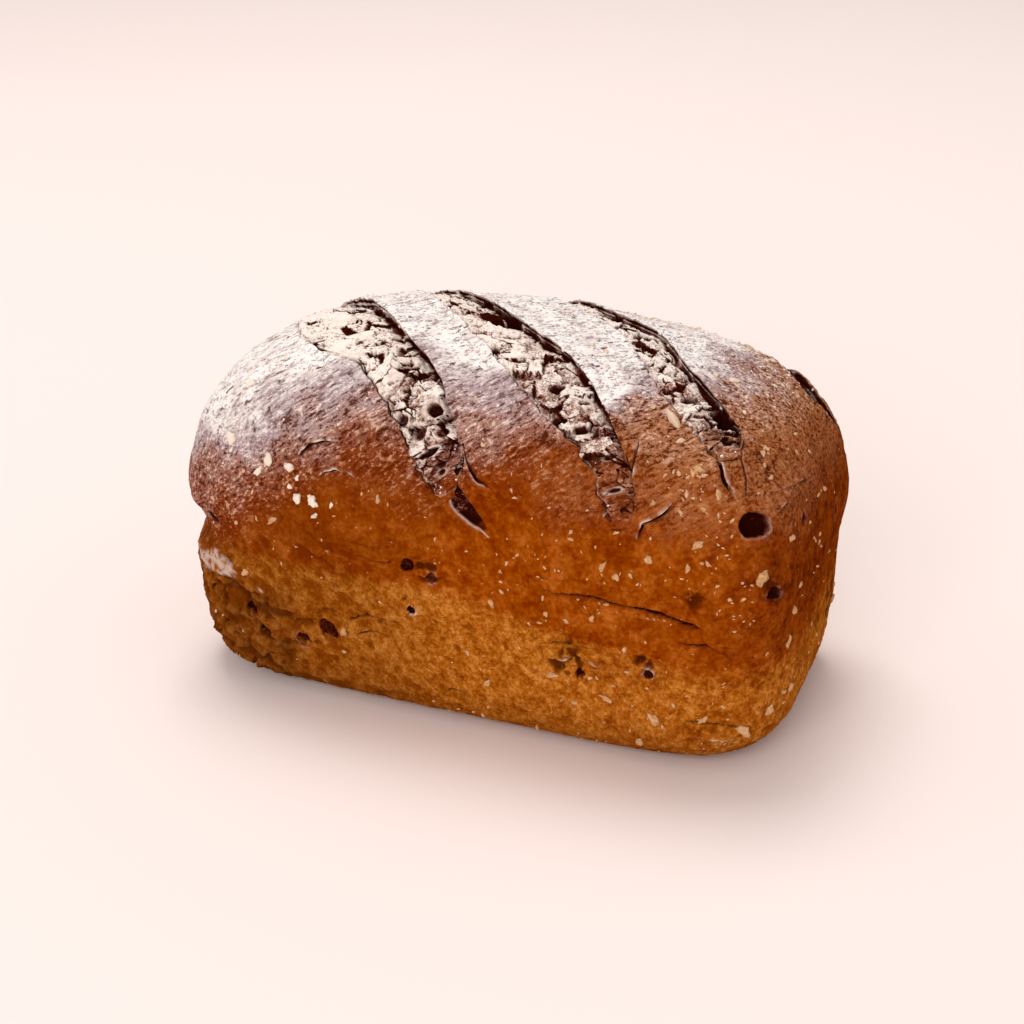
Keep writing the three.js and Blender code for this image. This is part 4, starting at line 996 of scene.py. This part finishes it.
    # Torn crumb: pale on its plates and brown between them, with thin dark veins. Its tone follows the ridge mask,
    # which paints light and shade on the plates by how they lean, and the painted shade mask, which darkens the gaps
    # between them.
    body = varied(ridge, (meal, 0.8), (wrinkle, 0.6), (grit, 0.8), (strokes, 0.6))
    body = node("ADD", body, node("MULTIPLY_ADD", flour, 0.42, -0.23))
    inner = node("ramp", node("MULTIPLY_ADD", painted_shade, -0.8, body), stops=(
        (0.0, hue.painted_shade), (0.15, hue.crumb_dark), (0.34, hue.crumb_brown), (0.50, hue.crumb), (0.70, hue.crumb_pale)))
    veins = node("step", node("ABSOLUTE", varied(0.0, (wrinkle, 1.0))), 0.020, 0.006)
    veins = node("MULTIPLY", veins, node("step", blotches, 0.42, 0.52))
    inner = node("mix", node("MULTIPLY", veins, 0.7), inner, hue.crumb_dark)
    bread = node("mix", torn, crust, inner)
    # Pale torn rims, with a painted highlight along the ledges in the slashes' walls, and painted shade, darkest in
    # the gaps, bubbles and under the lip.
    bread = node("mix", node("MULTIPLY", pale, node("step", meal, 0.25, 0.5)), bread, hue.rim)
    hollow = node("MULTIPLY", painted_shade, node("MULTIPLY_ADD", torn, -0.3, 1.0))
    hollow = node("MULTIPLY", hollow, node("MULTIPLY_ADD", meal, 1.6, node("MULTIPLY_ADD", strokes, 1.4, -0.5)))
    bread = node("mix", node("MULTIPLY", node("step", hollow, 0.0, 0.5), 0.8), bread, hue.crumb_dark)
    bread = node("mix", node("step", hollow, 0.22, 0.62), bread, hue.painted_shade)

    # Relief too fine for the mesh: half-millimetre grit, millimetre meal, strokes along the wrinkles of the dome and
    # rough meal on the golden side.
    relief = node("MULTIPLY_ADD", grit, 0.2, node("MULTIPLY", meal, 0.45))
    relief = node("MULTIPLY_ADD", wrinkle, node("MULTIPLY_ADD", gold, 0.7, 0.35), relief)
    relief = node("MULTIPLY_ADD", node("MULTIPLY_ADD", strokes, 0.7, streaks), node("step", flour, 0.0, 0.4), relief)
    relief = node("MULTIPLY_ADD", thread, -0.15, relief)
    relief = node("MULTIPLY_ADD", dots, 0.25, relief)
    relief = node("MULTIPLY", relief, node("MULTIPLY_ADD", torn, -0.4, 1.0))

    # Bare crust is smoother than flour, crumb and the golden side. None of it mirrors light.
    matt = node("MAXIMUM", node("MAXIMUM", node("step", flour, 0.0, 0.5), torn), node("MULTIPLY", gold, 0.8))
    node("output", node("shader", bread, node("range", matt, 0.42, 0.92), 0.0, node("bump", relief, 1.0, 0.0009)))
    return material


def flake_material(hue):
    """Rolled oats and wheat bran: a dry, dull husk, streaked tan and creamy by fine lines and paler in blotches.
    Those on the floured dome are whiter."""
    material, node = new_material("Rolled oat flakes")
    place = node("place")
    lines = node("noise", place, 1 / (0.9 * MM), 3.0)
    blotch = node("noise", place, 1 / (5 * MM), 2.0)
    husk_tone = node("ramp", lines, stops=((0.3, hue.flake_dark), (0.65, hue.flake)))
    share = node("ADD", node("MULTIPLY", blotch, 0.2), node("mask", attribute_name="flour"), use_clamp=True)
    tone = node("mix", share, husk_tone, hue.flake_light)
    node("output", node("shader", tone, 0.75, 0.5, node("bump", lines, 0.6, 0.0003)))
    return material


def floor_material():
    """Pale matt card, faintly mottled so that it isn't one flat colour."""
    material, node = new_material("Pale matt floor")
    cloud = node("noise", node("place"), 1.5, 1.0)
    node("output", node("shader", node("mix", cloud, linear("#fcefeb"), linear("#fef4f1")), 0.9, 0.1))
    return material


# ---- Sizes and colours that can be changed ------------------------------------------------------------------

def length(name, words, value):
    """A property that is a length, in metres."""
    return bpy.props.FloatProperty(name=name, description=words, default=value, subtype="DISTANCE", unit="LENGTH")


def colour(name, words, value):
    """A property that is a colour."""
    return bpy.props.StringProperty(name=name, description=words + ", as an sRGB hex value", default=value)


class LoafSizes(bpy.types.PropertyGroup):
    half_length: length("Half length", "Half the loaf's length at its belt", 0.1)
    half_width: length("Half width", "Half the loaf's width at its belt", 0.0547)
    height: length("Height", "Height of the loaf's crown", 0.1195)
    belt: length("Belt height", "Height at which the loaf is widest", 0.062)
    overhang: length("Overhang", "How far the belt stands out over the tin's side", 0.0015)
    strip_cell: length("Slash cell", "Width of the mesh's cells in the slashes", 0.00048)
    grains: bpy.props.IntProperty(name="Grains", description="Fine grains scattered on the crust", default=800)
    flakes: bpy.props.IntProperty(name="Flakes", description="Flakes scattered on the crust", default=84)
    crumbs: bpy.props.IntProperty(name="Crumbs", description="Crumbs of flour and bread on the dome", default=1900)


class LoafColours(bpy.types.PropertyGroup):
    belt: colour("Belt", "The orange-brown band", "#944200")
    belt_dark: colour("Belt, dark", "Dark mottles of the band", "#7a2a00")
    far_end: colour("Far end", "The browner far end", "#5f2a06")
    belt_light: colour("Belt, light", "Light mottles of the band", "#b96420")
    gold: colour("Golden side", "The side that the tin kept golden", "#b3671a")
    gold_dark: colour("Golden side, dark", "Its hollows", "#8a4404")
    gold_light: colour("Golden side, light", "Its ridges", "#d28e42")
    # The near end's colour is painted shade.
    shaded_near_end: colour("Near end", "The near end, darkened by painted shade", "#772e06")
    end_dark: colour("Near end, dark", "Its dark mottles", "#4a1000")
    # Painted shade in pores and in gaps, and the corner's own darker tone.
    dark_pores: colour("Pores", "Dark pores of the golden side and gaps of its folds", "#4c1c04")
    specks: colour("Specks", "Fine specks of meal", "#dca070")
    dome: colour("Dome", "Red-brown skin of the dome", "#864222")
    dome_dark: colour("Dome, dark", "Its dark streaks", "#4e1804")
    dome_light: colour("Dome, light", "Skin under a breath of flour", "#a67a6c")
    # The pale strokes are partly grains of flour and partly painted highlight.
    stroke_tan: colour("Tan strokes", "Pale strokes low on the dome", "#bf8252")
    stroke_light: colour("Light strokes", "Pale strokes on the thinly floured dome", "#dab5a4")
    tan_dome: colour("Near dome", "The paler brown skin of the near dome", "#b87c50")
    shade: colour("Shaded flour", "Fine wrinkles in the flour", "#998a89")
    thin_flour: colour("Thin flour", "Flour where it is thin", "#bca7aa")
    pale_flour: colour("Pale flour", "Between thin and thick flour", "#e6dad6")
    flour: colour("Flour", "Flour where it is thick", "#fffaf7")
    crumb: colour("Crumb", "The torn crumb", "#cfb8ab")
    crumb_pale: colour("Crumb, pale", "The floured plates of crumb", "#fdf1e8")
    # Brown and dark crumb are also the tones of the painted shade between the plates.
    crumb_brown: colour("Crumb, brown", "Between the plates", "#966a5a")
    crumb_dark: colour("Crumb, dark", "Deep between the plates", "#54221a")
    # Painted shade in the gaps, bubbles, creases and the wall under a lip.
    painted_shade: colour("Painted shade", "Gaps, bubbles and the wall under a lip", "#300a02")
    # Also the painted highlight along the ledges in the slashes' walls.
    rim: colour("Rim", "Thin torn rims", "#f5e5d9")
    flake: colour("Flake", "Oat flakes", "#d9a262")
    flake_dark: colour("Flake, dark", "Their husks", "#a96a30")
    flake_light: colour("Flake, light", "Where flour lies on them", "#f6e8d6")


def palette(scene):
    """The colours, each turned to linear, under their own names."""
    group = scene.loaf_colours
    return types.SimpleNamespace(**{key: linear(getattr(group, key)) for key in LoafColours.__annotations__})


def shared_crust(scene):
    """The crust's material, made once."""
    return bpy.data.materials.get("Baked brown bread crust") or crust_material(palette(scene))


def shared_flakes(scene):
    """The flakes' and grains' material, made once."""
    return bpy.data.materials.get("Rolled oat flakes") or flake_material(palette(scene))


# ---- Scattered things ---------------------------------------------------------------------------------------

def husk(rows, columns, curl, point):
    """A small closed husk on a grid of latitude and longitude: a ball of half size 1, whose middle is curled along
    its length by curl times the square of its width, and whose one end is drawn to a point."""
    v = np.linspace(0, np.pi, rows + 1)[1:-1]
    u = np.linspace(0, 2 * np.pi, columns, endpoint=False)
    v, u = np.meshgrid(v, u, indexing="ij")
    x, y, z = np.sin(v) * np.cos(u), np.sin(v) * np.sin(u), np.cos(v)
    y = y * (1 - point * smooth(0.0, 1.0, x) * 0.7)
    points = np.column_stack([x.ravel(), y.ravel(), z.ravel()])
    points = np.vstack([points, [0, 0, 1], [0, 0, -1]])
    points[:, 2] += curl * (points[:, 1] ** 2 - 0.4)
    squares = grid_squares(rows - 1, columns, True)
    top = np.column_stack([np.arange(columns), np.roll(np.arange(columns), -1), np.full(columns, len(points) - 2)])
    last = (rows - 2) * columns + np.arange(columns)
    bottom = np.column_stack([np.roll(last, -1), last, np.full(columns, len(points) - 1)])
    return points, [squares, top, bottom]


def laid(shape, at, up, sizes, tilt, rng, ragged=0.12):
    """Copies of one small shape, each stretched to its size and laid at its place with its thickness along the
    way up, turned at random about it and tipped a little. Its outline swells and shrinks by cosines of two, three
    and five times the angle round it, with random starts."""
    points, faces = shape
    count = len(at)
    turn = np.arctan2(points[:, 1], points[:, 0])[None]
    outline = 1 + sum(high * np.cos(k * turn + 2 * np.pi * rng.random((count, 1)))
                      for k, high in ((2, 0.12), (3, 0.14), (5, 0.08)))
    up = unit(up + tilt * rng.normal(size=(count, 3)))
    one = unit(np.cross(up, rng.normal(size=(count, 3))))
    two = np.cross(up, one)
    axes = np.stack([one, two, up], 1)
    uneven = 1 + ragged * rng.normal(size=(count, len(points), 1))
    spread = np.stack([outline, outline, np.ones_like(outline)], -1)
    copies = np.einsum("npk,nkx->npx", points[None] * uneven * spread * (sizes / 2)[:, None], axes) + at[:, None]
    starts = (np.arange(count) * len(points))[:, None, None]
    faces = [(f[None] + starts).reshape(-1, f.shape[1]) for f in faces]
    triangles = np.vstack([f for f in faces if f.shape[1] == 3])
    squares = np.vstack([f for f in faces if f.shape[1] == 4])
    return copies.reshape(-1, 3), [squares, triangles]


def pick(weights, count, rng):
    """The places of count different points, drawn by their weights."""
    return rng.choice(len(weights), size=count, replace=False, p=weights / weights.sum())


def surface_of(name):
    """The finished points, outward ways and masks of a piece that was made before."""
    mesh = bpy.data.objects[name].data
    points = np.empty(len(mesh.vertices) * 3, np.float32)
    mesh.vertices.foreach_get("co", points)
    ways = np.empty(len(mesh.vertices) * 3, np.float32)
    mesh.vertices.foreach_get("normal", ways)
    masks = {}
    for attribute in mesh.attributes:
        if attribute.data_type == "FLOAT" and attribute.domain == "POINT":
            values = np.empty(len(mesh.vertices), np.float32)
            attribute.data.foreach_get("value", values)
            masks[attribute.name] = values
    return points.reshape(-1, 3).astype(float) / MM, ways.reshape(-1, 3).astype(float), masks


# ---- Operators ----------------------------------------------------------------------------------------------

class LOAF_OT_crust(bpy.types.Operator):
    """Make the loaf's crust all round, sunk where the slashes, creases and bubbles are laid"""
    bl_idname = "loaf.crust"
    bl_label = "Crust"

    def execute(self, context):
        form = Form(context.scene.loaf_sizes)
        directions, squares = cube_grid(CRUST_GRID)
        base = form.to_mm(form.cast(np.zeros(3), directions))
        high, dark, dusted, ridge = crust_height(form, base)
        sink = sunk(form, base)
        points = base + form.outward(base) * (high - sink)[:, None]
        points[:, 2] = np.maximum(points[:, 2], 0)
        # Painted shade where the crust is sunk under the finer pieces.
        masks = {"flour": flour_share(base), "gold": gold_share(base), "torn": 0 * high, "painted_shade": smooth(1, 3, sink),
                 "pale": dusted, "dark": dark, "ridge": ridge, "sunk": sink > 0.05}
        new_piece("crust", points, [squares], shared_crust(context.scene), masks)
        return {"FINISHED"}


class LOAF_OT_slashes(bpy.types.Operator):
    """Make the four torn slashes and the pocket below the first, with their lips, walls and crumb"""
    bl_idname = "loaf.slashes"
    bl_label = "Slashes"

    def execute(self, context):
        form = Form(context.scene.loaf_sizes)
        step = context.scene.loaf_sizes.strip_cell / MM
        for which in range(len(SLASHES)):
            points, shape, masks = slash_surface(form, which, step)
            points, faces, masks = closed(points, shape, masks)
            new_piece("slash_%d" % (which + 1), points, faces, shared_crust(context.scene), masks)
        return {"FINISHED"}


class LOAF_OT_creases(bpy.types.Operator):
    """Make the creases in the crust, each open under its fold"""
    bl_idname = "loaf.creases"
    bl_label = "Creases"

    def execute(self, context):
        form = Form(context.scene.loaf_sizes)
        parts = [closed(*crease_surface(form, *crease, 0.5)) for crease in CREASES]
        points, faces, masks = joined(parts)
        new_piece("creases", points, faces, shared_crust(context.scene), masks)
        return {"FINISHED"}


class LOAF_OT_bubbles(bpy.types.Operator):
    """Make the burst bubbles in the crust"""
    bl_idname = "loaf.bubbles"
    bl_label = "Burst bubbles"

    def execute(self, context):
        form = Form(context.scene.loaf_sizes)
        parts = []
        for seed, (at, radius, deep, pale) in enumerate(BUBBLES):
            points, shape, masks = bubble_surface(form, at, radius, deep, pale, seed)
            parts.append(closed(points, shape, masks, around=True))
        points, faces, masks = joined(parts)
        new_piece("bubbles", points, faces, shared_crust(context.scene), masks)
        return {"FINISHED"}


class LOAF_OT_flakes(bpy.types.Operator):
    """Lay oat flakes on the crust: those with a known place, and a seeded scatter"""
    bl_idname = "loaf.flakes"
    bl_label = "Flakes"

    def execute(self, context):
        rng = np.random.default_rng(5)
        points, ways, masks = surface_of("crust")
        weights = (masks["sunk"] < 0.5) * (points[:, 2] > 8) * (0.25 + smooth(-10, 60, points[:, 0]))
        weights = weights + 9 * sum(bell(np.linalg.norm(points - np.array(at), axis=1), wide) for at, wide in PATCHES)
        chosen = pick(weights, context.scene.loaf_sizes.flakes, rng)
        placed = [np.linalg.norm(points - np.array(at), axis=1).argmin() for at, _ in PLACED_FLAKES]
        known = np.array([size for _, size in PLACED_FLAKES])
        share = rng.random((len(chosen), 1)) ** 1.5
        loose = np.array([1.8, 1.1, 0.6]) + share * np.array([2.0, 1.2, 0.7])
        at, up = points[np.append(placed, chosen)], ways[np.append(placed, chosen)]
        sizes = np.vstack([known * [1, 1, 0.8], loose])
        shape = husk(7, 14, 0.12, 0.5)
        made, faces = laid(shape, at + up * 0.2 * sizes[:, 2:], up, sizes, 0.1, rng)
        white = 0.85 * smooth(62, 70, at[:, 2]) * smooth(-20, -36, at[:, 0]) + 0.6 * smooth(95, 110, at[:, 2])
        new_piece("flakes", made, faces, shared_flakes(context.scene), {"flour": white.repeat(len(shape[0]))})
        return {"FINISHED"}


class LOAF_OT_grains(bpy.types.Operator):
    """Scatter fine grains and seeds over the crust, seeded, denser on the belt and the near end"""
    bl_idname = "loaf.grains"
    bl_label = "Grains"

    def execute(self, context):
        rng = np.random.default_rng(8)
        points, ways, masks = surface_of("crust")
        weights = (masks["sunk"] < 0.5) * (points[:, 2] > 3) * (0.35 + smooth(-20, 80, points[:, 0]))
        weights = weights * (1 - 0.6 * masks["gold"]) * (0.3 + smooth(0.0, 0.5, noise(points, 14, 71)))
        weights = weights * (1 - 0.75 * smooth(84, 97, points[:, 0]))
        chosen = pick(weights, context.scene.loaf_sizes.grains, rng)
        share = rng.random((len(chosen), 1)) ** 2.2
        sizes = np.array([0.9, 0.45, 0.35]) + share * np.array([1.5, 0.8, 0.5])
        shape = husk(4, 8, 0.0, 0.3)
        made, faces = laid(shape, points[chosen], ways[chosen], sizes, 0.2, rng, 0.2)
        white = 0.15 * rng.random(len(chosen)) ** 2 + 0.6 * masks["flour"][chosen]
        new_piece("grains", made, faces, shared_flakes(context.scene), {"flour": white.repeat(len(shape[0]))})
        return {"FINISHED"}


class LOAF_OT_crumbs(bpy.types.Operator):
    """Scatter crumbs of flour and bread over the dome and in the slashes, seeded"""
    bl_idname = "loaf.crumbs"
    bl_label = "Crumbs"

    def execute(self, context):
        rng = np.random.default_rng(9)
        at, up = [], []
        count = context.scene.loaf_sizes.crumbs
        shares = {"crust": 0.5, "slash_1": 0.18, "slash_2": 0.16, "slash_3": 0.1, "slash_4": 0.06}
        for name, share in shares.items():
            points, ways, masks = surface_of(name)
            weights = (masks["flour"] ** 3 + 0.3 * masks["torn"]) * (1 - masks["painted_shade"]) ** 4
            weights = weights * (masks["sunk"] < 0.5) if "sunk" in masks else weights
            chosen = pick(np.maximum(weights, 0) + 1e-9 * (points[:, 2] > 60), int(count * share), rng)
            at.append(points[chosen])
            up.append(ways[chosen])
        at, up = np.vstack(at), np.vstack(up)
        sizes = 0.35 + rng.random((len(at), 1)) ** 3 * 1.3 * np.array([[1.0, 0.8, 0.6]])
        made, faces = laid(husk(3, 6, 0.0, 0.0), at, up, sizes, 0.4, rng)
        ones = np.ones(len(made))
        masks = {"flour": ones, "torn": ones, "ridge": 0.8 * ones}
        new_piece("crumbs", made, faces, shared_crust(context.scene), masks)
        return {"FINISHED"}


class LOAF_OT_stage(bpy.types.Operator):
    """Set the floor, the soft lights and the camera"""
    bl_idname = "loaf.stage"
    bl_label = "Stage"

    def execute(self, context):
        scene = context.scene
        mesh = bpy.data.meshes.new("floor")
        mesh.from_pydata([(-5, -5, 0), (5, -5, 0), (5, 5, 0), (-5, 5, 0)], [], [(0, 1, 2, 3)])
        mesh.materials.append(floor_material())
        floor = bpy.data.objects.new("floor", mesh)
        scene.collection.objects.link(floor)

        world = bpy.data.worlds.new("Soft room light")
        scene.world = world
        world.use_nodes = True
        world.node_tree.nodes["Background"].inputs["Color"].default_value = linear("#fff8f4")
        world.node_tree.nodes["Background"].inputs["Strength"].default_value = 0.5

        # Soft boxes: place, where it points, its size and its power in watts.
        for name, at, to, size, power in (
            ("overhead", (-0.45, 0.55, 2.2), (0, 0, 0.06), 1.1, 24.0),
            ("front", (0.12, -2.65, 1.45), (0, 0, 0.05), 1.8, 38.0),
        ):
            light = bpy.data.lights.new(name, "AREA")
            light.shape = "SQUARE"
            light.size = size
            light.energy = power
            light.color = (1.0, 0.95, 0.92)
            lamp = bpy.data.objects.new(name, light)
            lamp.location = at
            way = np.array(to) - np.array(at)
            tilt = math.acos(-way[2] / np.linalg.norm(way))
            lamp.rotation_euler = (tilt, 0, math.atan2(way[1], way[0]) - math.pi / 2)
            scene.collection.objects.link(lamp)

        # The camera looks at a point over the loaf's middle from 22 degrees round and 24.65 degrees above.
        turn, rise, away = math.radians(22.0), math.radians(24.65), 0.6
        camera = bpy.data.cameras.new("camera")
        camera.lens = 65.9
        camera.sensor_width = 36
        camera.shift_x = -5.6 / PHOTO_PIXELS
        camera.shift_y = -8.2 / PHOTO_PIXELS
        camera.clip_start = 0.01
        viewer = bpy.data.objects.new("camera", camera)
        viewer.location = (away * math.sin(turn) * math.cos(rise), -away * math.cos(turn) * math.cos(rise),
                           0.055 + away * math.sin(rise))
        viewer.rotation_euler = (math.pi / 2 - rise, 0, turn)
        scene.collection.objects.link(viewer)
        scene.camera = viewer
        scene.view_settings.view_transform = "Standard"
        return {"FINISHED"}


class LOAF_PT_panel(bpy.types.Panel):
    """The loaf's pieces, sizes and colours"""
    bl_idname = "LOAF_PT_panel"
    bl_label = "Brown tin loaf"
    bl_space_type = "VIEW_3D"
    bl_region_type = "UI"
    bl_category = "Loaf"

    def draw(self, context):
        for operator in OPERATORS:
            self.layout.operator(operator.bl_idname)
        for group in (context.scene.loaf_sizes, context.scene.loaf_colours):
            for key in type(group).__annotations__:
                self.layout.prop(group, key)


OPERATORS = (
    LOAF_OT_crust, LOAF_OT_slashes, LOAF_OT_creases, LOAF_OT_bubbles, LOAF_OT_flakes, LOAF_OT_grains,
    LOAF_OT_crumbs, LOAF_OT_stage,
)
CLASSES = (LoafSizes, LoafColours, LOAF_PT_panel) + OPERATORS


def register():
    """Register the classes, and give the scene its sizes and colours."""
    for item in CLASSES:
        bpy.utils.register_class(item)
    bpy.types.Scene.loaf_sizes = bpy.props.PointerProperty(type=LoafSizes)
    bpy.types.Scene.loaf_colours = bpy.props.PointerProperty(type=LoafColours)


def unregister():
    """Take both away again."""
    del bpy.types.Scene.loaf_colours
    del bpy.types.Scene.loaf_sizes
    for item in reversed(CLASSES):
        bpy.utils.unregister_class(item)


def main():
    """Make every piece in order."""
    register()
    for operator in OPERATORS:
        group, name = operator.bl_idname.split(".")
        getattr(getattr(bpy.ops, group), name)()


if __name__ == "__main__":
    main()
